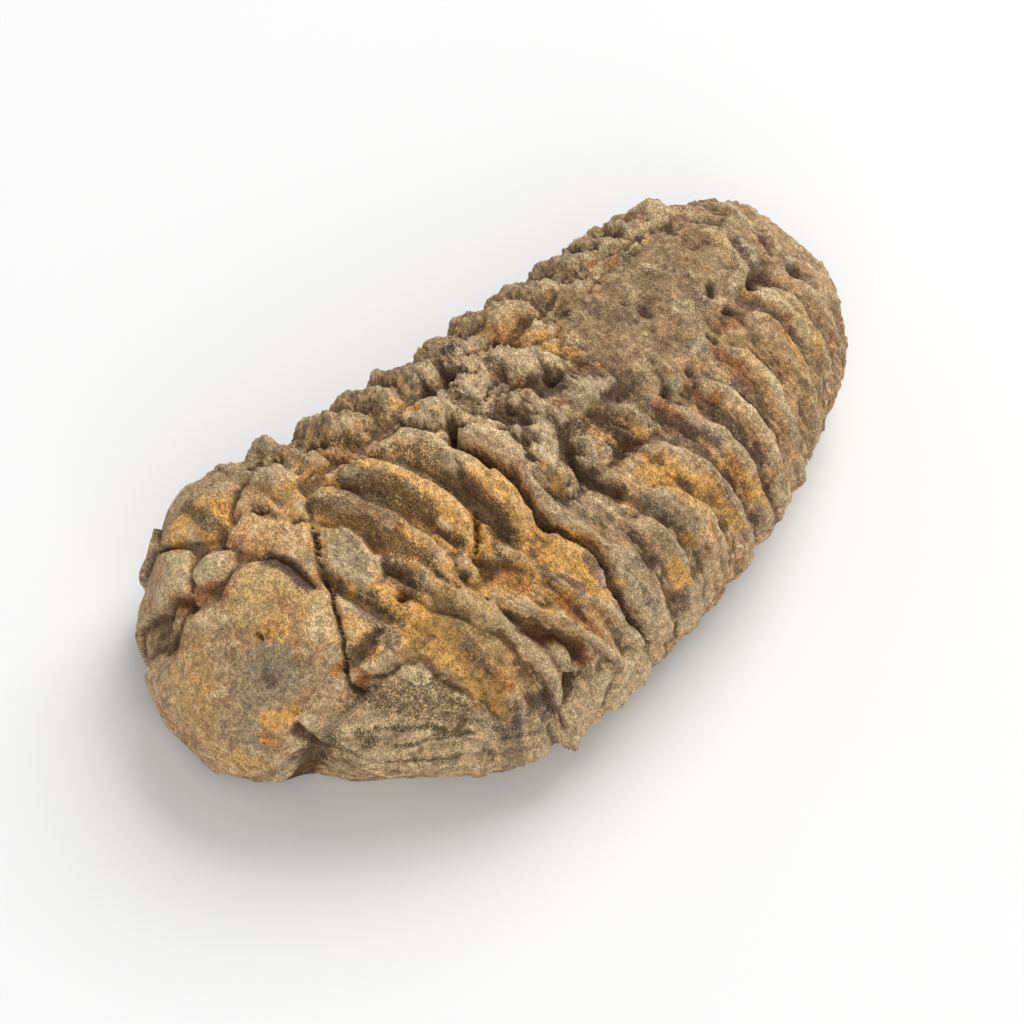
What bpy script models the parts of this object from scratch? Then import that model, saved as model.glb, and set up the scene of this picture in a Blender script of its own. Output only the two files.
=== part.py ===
"""Calymene trilobite fossil, one lump of stone lying on its belly.

The head faces -Y, the tail +Y and the back +Z. Sizes are written in millimetres and turned into
metres when the mesh is made. A place on the back is given as (y, v): y along the body and v round
it, measured over the surface from the crest, with +v towards the animal's left flank.
"""
import bpy
import numpy as np

MM = 0.001
NAME = "trilobite"
COLLECTION = "Calymene trilobite fossil"

# Driving sizes of the lump
LENGTH = 100.0
STATIONS = (0.0, 0.1, 0.2, 0.35, 0.5, 0.65, 0.8, 0.9, 1.0)
LEFT_HALF_WIDTH = (14.0, 18.5, 24.5, 27.5, 26.5, 23.5, 19.0, 15.0, 12.5)
RIGHT_HALF_WIDTH = (20.0, 22.5, 23.5, 23.0, 22.5, 21.5, 21.0, 19.0, 17.0)
HEIGHT = (19.5, 22.0, 24.5, 26.5, 27.5, 27.5, 26.0, 24.0, 21.5)
MARGIN_HEIGHT = 7.0
NOSE_HEIGHT = 8.0
TAIL_TIP_HEIGHT = 9.0
HEAD_ROUNDING = 0.18
TAIL_ROUNDING = 0.15
ROUNDING_POWER = 2.2
SECTION_POWER = 0.82
BEND = -2.5

# Mesh of the solid
RINGS = 118
SEGMENTS = 40
TOP_SHARE = 0.72
SWEEP_LINES = (-40.0, -20.0, -9.0, 0.0, 10.0, 22.0, 36.0)
SWEEP = (5.0, 3.0, -0.8, 0.0, 0.8, 4.2, 6.0)

# Furrows between the ribs of each flank: y where each crosses lines v down that flank
LEFT_LINES = (10.0, 16.0, 22.0, 28.0, 34.0)
LEFT_FURROWS = (
    (-24.0, -22.0, -19.5, -17.0, -17.5),
    (-19.0, -16.8, -14.8, -12.5, -12.0),
    (-14.5, -12.2, -10.0, -9.0, -8.5),
    (-8.5, -7.2, -6.3, -6.0, -5.0),
    (-4.5, -4.0, -2.5, -1.4, -1.2),
    (-2.0, -0.5, 2.4, 3.0, 3.6),
    (1.0, 3.5, 7.8, 8.9, 9.2),
    (5.0, 9.6, 13.2, 13.7, 14.5),
    (11.0, 15.6, 17.6, 18.4, 19.2),
    (17.5, 21.2, 22.6, 22.6, 23.2),
    (25.0, 26.5, 26.5, 26.4, 26.8),
    (31.0, 32.2, 32.0, 31.6, 31.8),
    (35.8, 37.0, 36.4, 36.2, 36.2),
    (40.0, 40.8, 40.2, 40.0, 40.0),
    (43.5, 43.8, 44.0, 44.2, 44.4),
)
RIGHT_LINES = (9.0, 14.0, 20.0, 28.0)
RIGHT_FURROWS = (
    (-30.0, -30.0, -29.5, -29.0),
    (-24.5, -25.0, -25.0, -24.5),
    (-20.0, -19.5, -19.0, -18.0),
    (-13.0, -13.5, -14.0, -13.0),
    (-8.5, -8.0, -7.5, -6.5),
    (-2.0, -2.0, -1.5, -0.5),
    (5.5, 4.8, 4.5, 5.5),
    (13.0, 10.8, 10.2, 11.0),
    (19.0, 17.3, 17.0, 17.8),
    (24.5, 23.3, 23.3, 24.0),
    (29.0, 27.8, 27.3, 28.0),
    (33.0, 31.7, 31.5, 32.0),
    (36.5, 36.0, 36.0, 36.5),
)
RIB_HEIGHT = 1.3
RIB_CREST_SHARE = 0.45
RIB_FALL = 0.8
NARROWEST_RIB = 0.8
THORAX_START = -30.0
FURROW_BLEND = 3.0
MARGIN_FADE_START = 26.0
MARGIN_FADE_LENGTH = 10.0

# Furrows between the rings of the axis, from its right edge to its left edge
RING_LINES = (-8.0, -4.0, 0.0, 4.0, 8.0, 12.0)
RING_FURROWS = (
    (-28.5, -27.7, -26.2, -25.0, -23.0, -21.0),
    (-22.3, -20.7, -19.8, -19.0, -18.5, -18.0),
    (-18.2, -15.3, -13.8, -14.0, -14.0, -13.5),
    (-9.5, -8.3, -8.7, -7.4, -8.0, -8.4),
    (-4.5, -3.5, -2.0, -1.5, -1.0, -0.5),
    (1.5, 2.0, 3.0, 3.5, 4.0, 4.5),
    (8.0, 8.5, 9.0, 9.5, 10.0, 10.5),
)
RING_HEIGHT = 1.5
WORN_AXIS_START = 3.0
WORN_AXIS_SHARE = 0.85

# Long furrows each side of the axis: (y, v) along them
LEFT_AXIAL_FURROW = ((-27, 13), (-20, 14), (-15.5, 11), (-10.5, 12), (-3.5, 12.5), (7.5, 12.5),
                     (14, 11), (18.5, 9.5), (23.5, 8.5), (34, 5), (39, 2))
RIGHT_AXIAL_FURROW = ((-30, -9), (-21.5, -10), (-12, -10), (-0.5, -9.5), (11.5, -9.5),
                      (24.5, -9.5), (35.5, -9), (39, -5))

# Open cracks: (y, v) along each
BODY_CRACK = ((-8.5, -5), (-9, -1.5), (-7.5, 3), (-8, 8), (-8.5, 12.5), (-7, 16.5), (-6, 20.5),
              (-7, 25), (-5.5, 30.5), (-5, 34))
HEAD_CRACK = ((-28.5, -4), (-32.5, 2), (-35, 8), (-37.5, 14), (-33.5, 20), (-30, 22))
CHEEK_CRACK = ((-14.5, 29), (-16.5, 32), (-18.5, 36), (-19, 40))
# Furrows round the front and sides of the glabella, and the notch between it and the left cheek
GLABELLA_FURROW = ((-33.5, -6), (-38, -11), (-44, -13.5), (-47, -12))
GLABELLA_LEFT_FURROW = ((-33.0, 3), (-36.5, 11), (-40.5, 16), (-44.5, 17))
CHEEK_NOTCH = ((-43.5, 16), (-42.3, 20), (-41.4, 25), (-40.5, 32))
# Each crack and furrow with its depth and half width
TRENCHES = (
    (LEFT_AXIAL_FURROW, 1.3, 1.6),
    (RIGHT_AXIAL_FURROW, 1.3, 1.6),
    (GLABELLA_FURROW, 1.2, 1.8),
    (GLABELLA_LEFT_FURROW, 1.2, 1.8),
    (CHEEK_NOTCH, 1.7, 2.2),
    (BODY_CRACK, 1.8, 0.9),
    (HEAD_CRACK, 0.9, 0.9),
    (CHEEK_CRACK, 1.5, 1.0),
)

# Lumps: (y, v), reach along y, reach round v, height
LUMPS = (
    ((-41.0, 2.0), 9.0, 9.0, 1.6),
    ((-46.5, 6.0), 6.0, 9.0, 0.8),
    ((-36.0, -16.0), 5.5, 5.0, 2.2),
    ((-42.5, -15.0), 3.5, 4.5, 1.8),
    ((-33.0, 14.5), 4.5, 4.0, 1.2),
    ((-30.0, 6.0), 4.0, 6.0, 0.8),
    ((-3.0, -1.0), 2.6, 2.4, 1.0),
    ((-3.5, 6.5), 2.4, 3.6, 1.2),
    ((0.0, 11.0), 2.2, 3.0, 1.0),
    ((34.5, -2.0), 2.0, 6.0, 0.8),
)
# Pits and hollows, in the same terms
HOLLOWS = (
    ((4.0, -1.5), 1.6, 2.2, 2.0),
    ((-5.5, 2.0), 1.8, 2.0, 1.2),
    ((-37.0, -11.0), 1.6, 4.0, 1.4),
    ((-31.0, -9.0), 1.2, 2.6, 1.4),
    ((35.5, 2.5), 1.0, 2.0, 0.8),
    ((31.0, 4.5), 1.2, 1.2, 0.8),
    ((46.0, 5.0), 1.6, 3.0, 1.2),
)
# Depth by which the right flank is pressed in between the head and the tail
RIGHT_FLANK_DENT = 0.9


def curve(t, stations, values):
    """Smooth curve through (station, value): cubic Hermite with central-difference slopes."""
    stations = np.asarray(stations, float)
    values = np.asarray(values, float)
    slopes = np.gradient(values, stations)
    i = np.clip(np.searchsorted(stations, t, side="right") - 1, 0, len(stations) - 2)
    step = stations[i + 1] - stations[i]
    k = (t - stations[i]) / step
    start = (2 * k**3 - 3 * k**2 + 1) * values[i] + (k**3 - 2 * k**2 + k) * step * slopes[i]
    end = (3 * k**2 - 2 * k**3) * values[i + 1] + (k**3 - k**2) * step * slopes[i + 1]
    return start + end


def smooth(x):
    """Smooth step: 0 below 0, 1 above 1 and 3x^2 - 2x^3 between."""
    x = np.clip(x, 0.0, 1.0)
    return x * x * (3 - 2 * x)


def rounding(t, head, tail, power):
    """Superellipse that closes both ends: (1 - (1 - t/head)^p)^(1/p) times the same at the tail."""
    front = 1 - np.clip(t / head, 0, 1)
    back = 1 - np.clip((1 - t) / tail, 0, 1)
    return (1 - front**power) ** (1 / power) * (1 - back**power) ** (1 / power)


def body(t, phi):
    """Plain lump: a superellipse section of angle phi at each fraction t of the length.

    phi is 0 at the left margin, a quarter turn at the crest and half a turn at the right margin.
    Below the margins the section turns in and lies flat at z = 0.
    """
    closing = rounding(t, HEAD_ROUNDING, TAIL_ROUNDING, ROUNDING_POWER)
    belly = rounding(t, 0.8 * HEAD_ROUNDING, 0.8 * TAIL_ROUNDING, 3.0)
    c, s = np.cos(phi), np.sin(phi)
    side = np.where(c > 0, curve(t, STATIONS, LEFT_HALF_WIDTH), curve(t, STATIONS, RIGHT_HALF_WIDTH))
    margin = (MARGIN_HEIGHT + (NOSE_HEIGHT - MARGIN_HEIGHT) * np.exp(-(t / 0.06) ** 2)
              + (TAIL_TIP_HEIGHT - MARGIN_HEIGHT) * np.exp(-((1 - t) / 0.06) ** 2))
    tuck = np.where(s < 0, 1 - 0.12 * np.abs(s), 1.0)
    x = BEND * (2 * t - 1) ** 2 + side * closing * np.sign(c) * np.abs(c) ** SECTION_POWER * tuck
    crest = (curve(t, STATIONS, HEIGHT) - margin) * closing
    above = margin + crest * np.abs(s) ** SECTION_POWER
    below = margin - margin * belly * np.minimum(1.0, 1.3 * np.abs(s) ** 0.85)
    y = LENGTH * (t - 0.5) + 0 * x
    return np.stack([x, y, np.where(s >= 0, above, below)], -1)


def normals(t, phi):
    """Outward unit normals of the plain lump, from differences along t and phi."""
    e = 1e-4
    t0, t1 = np.clip(t - e, 1e-5, 1 - 1e-5), np.clip(t + e, 1e-5, 1 - 1e-5)
    along = body(t1, phi) - body(t0, phi)
    around = body(t, phi + e) - body(t, phi - e)
    n = np.cross(along, around)
    return n / np.maximum(np.linalg.norm(n, axis=-1, keepdims=True), 1e-12)


ARC_T = np.linspace(0.001, 0.999, 201)
ARC_PHI = np.linspace(-0.5 * np.pi, 1.5 * np.pi, 401)
CREST_COLUMN = 200


def arc_table():
    """Distance over the section from the crest, for each ARC_T and ARC_PHI; + on the left flank."""
    points = body(ARC_T[:, None], ARC_PHI[None, :])
    steps = np.linalg.norm(np.diff(points, axis=1), axis=-1)
    arc = np.concatenate([np.zeros((len(ARC_T), 1)), np.cumsum(steps, axis=1)], axis=1)
    return arc[:, CREST_COLUMN:CREST_COLUMN + 1] - arc


ARC = arc_table()


def round_distance(t, phi):
    """v of each point, read between the rows and columns of ARC."""
    a = np.clip((t - ARC_T[0]) / (ARC_T[1] - ARC_T[0]), 0, len(ARC_T) - 1.001)
    b = np.clip((phi - ARC_PHI[0]) / (ARC_PHI[1] - ARC_PHI[0]), 0, len(ARC_PHI) - 1.001)
    i, j = a.astype(int), b.astype(int)
    fa, fb = a - i, b - j
    low = ARC[i, j] * (1 - fb) + ARC[i, j + 1] * fb
    high = ARC[i + 1, j] * (1 - fb) + ARC[i + 1, j + 1] * fb
    return low * (1 - fa) + high * fa


def place(y, v):
    """Point of the plain lump at (y, v)."""
    t = y / LENGTH + 0.5
    row = int(round((t - ARC_T[0]) / (ARC_T[1] - ARC_T[0])))
    phi = np.interp(-v, -ARC[row], ARC_PHI)
    return body(np.array(t), np.array(phi))


def across_line(points, route):
    """Distance of each point from the line through the (y, v) route."""
    marks = [place(y, v) for y, v in route]
    nearest = np.full(points.shape[:-1], 1e9)
    for a, b in zip(marks[:-1], marks[1:]):
        run = b - a
        k = np.clip(((points - a) @ run) / (run @ run), 0, 1)
        gap = np.linalg.norm(points - a - k[..., None] * run, axis=-1)
        nearest = np.minimum(nearest, gap)
    return nearest


def trench(points, route, depth, width):
    """Rounded trench along a route: -depth exp(-(distance / width)^2)."""
    return -depth * np.exp(-((across_line(points, route) / width) ** 2))


def mound(y, v, centre, reach_y, reach_v):
    """Rounded lump of height 1: exp(-(dy / reach_y)^2 - (dv / reach_v)^2)."""
    return np.exp(-(((y - centre[0]) / reach_y) ** 2) - ((v - centre[1]) / reach_v) ** 2)


def tiles(y, v, lines, furrows):
    """Overlapping tiles between furrows, 0 in each furrow and 1 at each crest.

    Each furrow is a smooth line through its crossings. From one furrow to the next the height
    rises steeply over the first part and falls slowly over the rest.
    """
    table = np.array([curve(v, lines, row) for row in furrows])
    height = np.zeros_like(v)
    for front, back in zip(table[:-1], table[1:]):
        k = (y - front) / np.maximum(back - front, NARROWEST_RIB)
        inside = (k >= 0) & (k < 1)
        climb = smooth(k / RIB_CREST_SHARE)
        fall = RIB_FALL * smooth((k - RIB_CREST_SHARE) / (1 - RIB_CREST_SHARE))
        height = np.where(inside, climb * (1 - fall), height)
    return height


def relief(points, y, v):
    """Height of the fossil's skin over the plain lump, in millimetres."""
    left = curve(y, *np.array(LEFT_AXIAL_FURROW, float).T)
    right = curve(y, *np.array(RIGHT_AXIAL_FURROW, float).T)
    on_left = smooth((v - left) / FURROW_BLEND)
    on_right = smooth((right - v) / FURROW_BLEND)
    on_axis = (1 - on_left) * (1 - on_right)
    left_v = np.clip(v, LEFT_LINES[0], LEFT_LINES[-1])
    right_v = np.clip(-v, RIGHT_LINES[0], RIGHT_LINES[-1])
    ring_v = np.clip(v, RING_LINES[0], RING_LINES[-1])
    thorax = smooth((y - THORAX_START) / 4.0)
    edge = 1 - 0.5 * smooth((np.abs(v) - MARGIN_FADE_START) / MARGIN_FADE_LENGTH)
    height = RIB_HEIGHT * edge * on_left * thorax * tiles(y, left_v, LEFT_LINES, LEFT_FURROWS)
    height += RIB_HEIGHT * edge * on_right * thorax * tiles(y, right_v, RIGHT_LINES, RIGHT_FURROWS)
    unworn = 1 - WORN_AXIS_SHARE * smooth((y - WORN_AXIS_START) / 8.0)
    height += RING_HEIGHT * on_axis * thorax * unworn * tiles(y, ring_v, RING_LINES, RING_FURROWS)
    height -= RIGHT_FLANK_DENT * smooth((-v - 11) / 6) * smooth((y + 30) / 8) * smooth((38 - y) / 8)
    for route, depth, half_width in TRENCHES:
        height += trench(points, route, depth, half_width)
    for centre, reach_y, reach_v, rise in LUMPS:
        height += rise * mound(y, v, centre, reach_y, reach_v)
    for centre, reach_y, reach_v, depth in HOLLOWS:
        height -= depth * mound(y, v, centre, reach_y, reach_v)
    return height


def ring_fractions(u):
    """Fraction of the length for each ring: rings crowd towards the two poles."""
    fine = np.linspace(0, 1, 2001)
    density = 1 - 0.8 * (np.exp(-((fine / 0.07) ** 2)) + np.exp(-(((1 - fine) / 0.07) ** 2)))
    total = np.cumsum(density)
    return np.interp(u, fine, (total - total[0]) / (total[-1] - total[0]))


def section_angle(share):
    """Angle phi for each share of the way round: TOP_SHARE of the segments cover the back."""
    return np.interp(share, (0, TOP_SHARE, 1), (-0.1 * np.pi, 1.1 * np.pi, 1.9 * np.pi))


def fossil_points(u, share):
    """Vertices of the fossil in millimetres, for ring position u and share round the section."""
    phi = section_angle(share)
    phi = np.where(phi > 1.5 * np.pi, phi - 2 * np.pi, phi)
    t = ring_fractions(u)
    swept = curve(round_distance(t, phi), SWEEP_LINES, SWEEP) / LENGTH
    t = t + swept * smooth(t / 0.25) * smooth((1 - t) / 0.2)
    plain = body(t, phi)
    y = plain[..., 1]
    v = round_distance(t, phi)
    height = relief(plain, y, v)
    upward = smooth((plain[..., 2] - 0.5) / 3.0)
    ends = smooth(u / 0.03) * smooth((1 - u) / 0.03)
    points = plain + normals(t, phi) * (height * upward * ends)[..., None]
    points[..., 2] = np.where(plain[..., 2] < 0.05, 0.0, np.maximum(points[..., 2], 0.0))
    return points


def stone_material():
    """Tan limestone with a matt face."""
    material = bpy.data.materials.new("stone")
    material.use_nodes = True
    shader = material.node_tree.nodes["Principled BSDF"]
    shader.inputs["Base Color"].default_value = (0.36, 0.27, 0.18, 1.0)
    shader.inputs["Roughness"].default_value = 0.85
    return material


def make_fossil(collection):
    """A sphere whose rings run from nose to tail, with each vertex carried to its place."""
    bpy.ops.mesh.primitive_uv_sphere_add(segments=SEGMENTS, ring_count=RINGS, radius=1.0)
    fossil = bpy.context.object
    fossil.name = NAME
    fossil.data.name = NAME
    unit = np.empty(len(fossil.data.vertices) * 3)
    fossil.data.vertices.foreach_get("co", unit)
    unit = unit.reshape(-1, 3)
    u = np.arccos(np.clip(unit[:, 2], -1, 1)) / np.pi
    share = (np.arctan2(unit[:, 1], unit[:, 0]) / (2 * np.pi)) % 1.0
    points = fossil_points(u, share)
    middle = 0.5 * (points.min(axis=0) + points.max(axis=0))
    points[:, :2] -= middle[:2]
    fossil.data.vertices.foreach_set("co", (points * MM).ravel())
    fossil.data.update()
    fossil.data.materials.append(stone_material())
    bpy.ops.object.shade_smooth()
    for owner in list(fossil.users_collection):
        owner.objects.unlink(fossil)
    collection.objects.link(fossil)
    return fossil


def build():
    """Clear the scene and build the fossil in its own collection."""
    for old in list(bpy.data.objects):
        bpy.data.objects.remove(old, do_unlink=True)
    collection = bpy.data.collections.new(COLLECTION)
    bpy.context.scene.collection.children.link(collection)
    make_fossil(collection)


build()
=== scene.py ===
"""Looks of the calymene trilobite fossil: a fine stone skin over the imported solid, floor, light, camera.

Sizes are in millimetres and are turned into metres when a mesh is made. A place on the back is given
as (y, v): y along the body from the head at -Y to the tail, and v round it, measured over the surface
from the crest, with +v towards the animal's left flank.
"""

import bpy
import numpy as np
from mathutils import Matrix


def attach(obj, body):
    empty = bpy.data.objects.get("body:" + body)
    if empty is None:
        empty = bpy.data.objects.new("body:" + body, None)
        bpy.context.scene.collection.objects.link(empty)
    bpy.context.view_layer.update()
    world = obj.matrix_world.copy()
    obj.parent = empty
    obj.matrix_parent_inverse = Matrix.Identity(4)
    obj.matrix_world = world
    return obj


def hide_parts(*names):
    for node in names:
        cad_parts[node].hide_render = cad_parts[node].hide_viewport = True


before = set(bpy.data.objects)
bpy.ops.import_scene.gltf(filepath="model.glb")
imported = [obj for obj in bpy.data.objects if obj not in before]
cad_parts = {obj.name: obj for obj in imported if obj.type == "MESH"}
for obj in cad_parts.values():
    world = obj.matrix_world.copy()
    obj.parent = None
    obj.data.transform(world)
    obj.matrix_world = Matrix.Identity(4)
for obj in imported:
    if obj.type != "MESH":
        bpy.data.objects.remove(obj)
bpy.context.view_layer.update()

MM = 0.001

# The plain lump, as the solid has it
LENGTH = 100.0
STATIONS = (0.0, 0.1, 0.2, 0.35, 0.5, 0.65, 0.8, 0.9, 1.0)
LEFT_HALF_WIDTH = (14.0, 18.5, 24.5, 27.5, 26.5, 23.5, 19.0, 15.0, 12.5)
RIGHT_HALF_WIDTH = (20.0, 22.5, 23.5, 23.0, 22.5, 21.5, 21.0, 19.0, 17.0)
HEIGHT = (19.5, 22.0, 24.5, 26.5, 27.5, 27.5, 26.0, 24.0, 21.5)
MARGIN_HEIGHT = 7.0
NOSE_HEIGHT = 8.0
TAIL_TIP_HEIGHT = 9.0
TIP_SHARE = 0.06
HEAD_ROUNDING = 0.18
TAIL_ROUNDING = 0.15
ROUNDING_POWER = 2.2
SECTION_POWER = 0.82
BEND = -2.5
UNDERSIDE_TUCK = 0.12

# Grid of the skin
ROWS = 426
COLUMNS = 232
TOP_SHARE = 0.88
SWEEP_LINES = (-40.0, -20.0, -9.0, 0.0, 10.0, 22.0, 36.0)
SWEEP = (5.0, 3.0, -0.8, 0.0, 0.8, 4.2, 6.0)

# Overlapping plates. Each row: height, share of the plate taken by its steep front, and y where the
# furrow in front of it crosses the lines v
RIGHT_LINES = (9.0, 14.0, 20.0, 28.0)
RIGHT_PLATES = (
    (0.8, 0.50, (-30.0, -30.0, -29.5, -29.0)),
    (0.9, 0.45, (-24.5, -25.0, -25.0, -24.5)),
    (1.5, 0.50, (-20.0, -19.5, -19.0, -18.0)),
    (1.5, 0.55, (-13.0, -13.5, -14.0, -13.0)),
    (1.3, 0.40, (-8.5, -8.0, -7.5, -6.5)),
    (1.0, 0.50, (-2.0, -2.0, -1.5, -0.5)),
    (1.6, 0.55, (5.5, 4.8, 4.5, 5.5)),
    (1.3, 0.45, (13.0, 10.8, 10.2, 11.0)),
    (1.5, 0.50, (19.0, 17.3, 17.0, 17.8)),
    (1.2, 0.50, (24.5, 23.3, 23.3, 24.0)),
    (1.2, 0.45, (29.0, 27.8, 27.3, 28.0)),
    (1.5, 0.50, (33.0, 31.7, 31.5, 32.0)),
    (0.0, 0.35, (36.5, 36.0, 36.0, 36.5)),
)

LEFT_AXIAL_FURROW = ((-27, 13), (-20, 14), (-15.5, 11), (-10.5, 12), (-3.5, 12.5), (7.5, 12.5),
                     (14, 11), (18.5, 9.5), (23.5, 8.5), (34, 5), (39, 2))
RIGHT_AXIAL_FURROW = ((-30, -9), (-21.5, -10), (-12, -10), (-0.5, -9.5), (11.5, -9.5),
                      (24.5, -9.5), (35.5, -9), (39, -5))

# Forms laid over the plates. Each begins with its kind:
#   lobe: outline, height, width of its rounded edge, and how many last corners have no edge
#   rib: its rear edge, its front edge, height, width of its front slope and of its rear drop
#   ridge: route, height, reach of its steep side (right of the way along), reach of its back
#   trench: route, depth, half width        crack: route, depth, half width at the lip
#   mound: centre, reach along, reach round, turn in degrees, height
AXIS_FORMS = (
    ("trench", LEFT_AXIAL_FURROW, 0.5, 1.5),
    ("trench", RIGHT_AXIAL_FURROW, 0.7, 1.5),
)
HEAD_FORMS = (
    ("lobe", ((-37.5, -13.0), (-36.5, -11.6), (-35.4, -11.3), (-33.8, -12.2), (-32.4, -13.7),
        (-30.5, -15.4), (-28.8, -16.0), (-26.9, -17.1), (-20.0, -24.0), (-24.0, -40.0), (-38.0, -40.0),
        (-41.0, -24.0), (-40.0, -19.0)), 1.4, 2.6, 5),
    ("lobe", ((-26.6, -7.8), (-29.1, -3.2), (-29.5, -4.5), (-29.6, -6.5), (-30.4, -9.1), (-31.3, -11.3),
        (-32.4, -11.6), (-33.8, -11.6), (-32.5, -13.5), (-30.5, -14.6), (-27.6, -15.7), (-25.8, -15.5),
        (-25.1, -14.1), (-25.4, -11.6)), 0.65, 1.8),
    ("lobe", ((-25.2, -11.9), (-26.6, -7.8), (-29.0, -3.5), (-30.6, -0.3), (-31.9, 1.9), (-32.7, 3.4),
        (-33.3, 1.5), (-33.1, -1.3), (-33.5, -3.4), (-34.5, -5.4), (-35.6, -7.0), (-35.7, -8.7),
        (-36.5, -10.0), (-35.4, -11.1), (-33.8, -11.6), (-32.2, -12.9), (-30.4, -14.4), (-27.6, -15.7),
        (-25.8, -15.5), (-25.1, -14.1)), 0.6, 0.9),
    ("lobe", ((-41.4, -9.6), (-40.1, -10.8), (-38.4, -11.0), (-37.2, -10.5), (-36.3, -8.9),
        (-36.4, -7.6), (-37.5, -6.7), (-39.3, -6.3), (-40.6, -7.0), (-41.5, -8.3)), 1.5, 2.0),
    ("lobe", ((-39.7, -18.0), (-39.4, -16.2), (-38.9, -13.9), (-38.9, -11.6), (-40.2, -11.2),
        (-41.4, -10.0), (-42.5, -8.6), (-42.9, -9.7), (-43.3, -11.0), (-44.3, -11.4), (-45.3, -12.6),
        (-46.0, -20.0), (-46.0, -40.0), (-38.0, -40.0), (-37.0, -24.0)), 1.2, 0.9, 4),
    ("trench", ((-45.5, -12.3), (-44.9, -11.1), (-43.6, -10.7), (-42.9, -8.7), (-43.3, -7.5)), 1.1, 0.45),
    ("trench", ((-36.5, -9.9), (-38.0, -10.3), (-39.5, -10.9), (-41.4, -10.0), (-42.7, -8.4)), 0.35, 0.4),
    ("lobe", ((-48.3, -8.5), (-46.7, -8.0), (-44.8, -8.2), (-43.5, -7.7), (-42.5, -6.1), (-41.0, -5.4),
        (-39.6, -5.7), (-38.0, -6.4), (-36.8, -6.4), (-35.2, -5.4), (-33.8, -4.0), (-33.3, -1.9),
        (-33.4, 0.5), (-33.2, 2.3), (-32.7, 4.3), (-34.3, 7.2), (-36.2, 10.6), (-36.6, 11.1),
        (-37.9, 12.0), (-40.3, 11.9), (-41.8, 11.5), (-43.3, 11.8), (-44.5, 13.1), (-44.4, 15.7),
        (-46.0, 24.0), (-60.0, 24.0), (-60.0, -26.0), (-47.0, -26.0)), 1.1, 3.4, 4),
    ("trench", ((-48.1, -8.7), (-46.6, -8.1), (-44.7, -8.3), (-43.5, -7.9)), 0.7, 1.4),
    ("lobe", ((-29.0, -2.9), (-27.8, -2.2), (-26.0, -0.3), (-25.9, 1.7), (-26.2, 4.2), (-25.7, 6.1),
        (-27.3, 6.2), (-29.2, 7.0), (-29.9, 6.0), (-30.6, 3.9), (-30.9, 2.0), (-30.7, 0.3),
        (-30.0, -1.2)), 1.0, 1.0),
    ("trench", ((-31.6, 1.9), (-31.5, 4.4), (-31.4, 6.3), (-30.6, 8.7), (-29.7, 10.9)), 1.0, 0.8),
    ("lobe", ((-32.5, 4.6), (-31.9, 6.0), (-31.5, 8.4), (-31.6, 9.9), (-32.7, 10.8), (-34.2, 11.1),
        (-36.0, 10.8), (-35.1, 9.0), (-34.2, 7.3)), 0.9, 1.6),
    ("trench", ((-31.5, 11.2), (-33.8, 11.3), (-33.1, 12.0), (-34.9, 12.1), (-36.2, 12.0)), 0.7, 0.5),
    ("ridge", ((-42.3, 12.2), (-41.3, 12.1), (-39.5, 12.3), (-37.5, 12.9)), 0.8, 1.2, 1.3),
    ("trench", ((-38.7, 10.0), (-39.9, 10.5), (-41.6, 10.6), (-42.9, 9.9)), 0.7, 1.5),
    ("trench", ((-43.7, 12.0), (-43.7, 13.3), (-43.1, 15.3), (-42.1, 17.7)), 0.9, 0.6),
    ("mound", (-43.7, 16.7), 2.4, 1.8, 0, -0.6),
    ("mound", (-42.5, 12.5), 1.0, 0.8, 0, 0.6),
    ("mound", (-42.4, 16.1), 0.7, 0.7, 0, 0.6),
    ("mound", (-44.3, 14.4), 1.0, 1.2, 0, 0.5),
    ("mound", (-43.0, 6.6), 1.8, 2.2, 0, -0.6),
    ("mound", (-41.0, 2.1), 0.28, 0.34, 0, -1.8),
    ("mound", (-40.9, 2.6), 0.25, 0.25, 0, -1.2),
    ("trench", ((-30.3, -9.7), (-30.9, -11.0), (-31.9, -11.6), (-33.1, -11.5), (-34.0, -11.4)), 1.1, 0.3),
    ("mound", (-31.1, -10.8), 0.5, 1.0, 0, -1.4),
    ("trench", ((-29.7, -6.0), (-29.1, -5.7), (-28.7, -4.6)), 1.0, 0.4),
    ("ridge", ((-34.7, -10.2), (-33.5, -10.7), (-32.3, -11.0), (-31.4, -10.2)), 0.4, 0.35, 2.0),
    ("ridge", ((-36.0, -6.2), (-34.7, -4.9), (-33.7, -4.0), (-33.3, -1.9), (-33.4, 0.3),
        (-33.4, 2.1)), -0.5, 0.6, 0.5),
    ("crack", ((-29.0, -3.3), (-30.0, -1.4), (-31.2, 0.6), (-32.3, 2.8), (-32.5, 4.2), (-33.4, 5.4),
        (-34.3, 7.2), (-35.0, 8.8), (-36.2, 10.8), (-36.5, 11.2), (-37.1, 12.2)), 1.8, 0.16),
    ("crack", ((-37.1, 12.0), (-37.3, 13.4), (-37.1, 14.1), (-36.8, 15.1)), 1.8, 0.33),
    ("mound", (-31.3, -25.0), 3.4, 6.0, 0, 0.7),
    ("mound", (-41.5, -22.0), 4.0, 7.0, 0, -1.2),
    ("mound", (-24.6, -20.0), 3.0, 4.0, 0, -2.9),
    ("mound", (-47.0, -10.5), 3.5, 6.0, 0, -1.6),
    ("mound", (-38.5, -24.0), 2.5, 4.0, 0, -1.3),
    ("trench", ((-43.6, 19.5), (-42.9, 23.0), (-42.8, 28.0), (-42.8, 36.0)), 2.9, 2.6),
    ("mound", (-45.5, -16.0), 3.0, 9.0, 0, -1.3),
)
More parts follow.
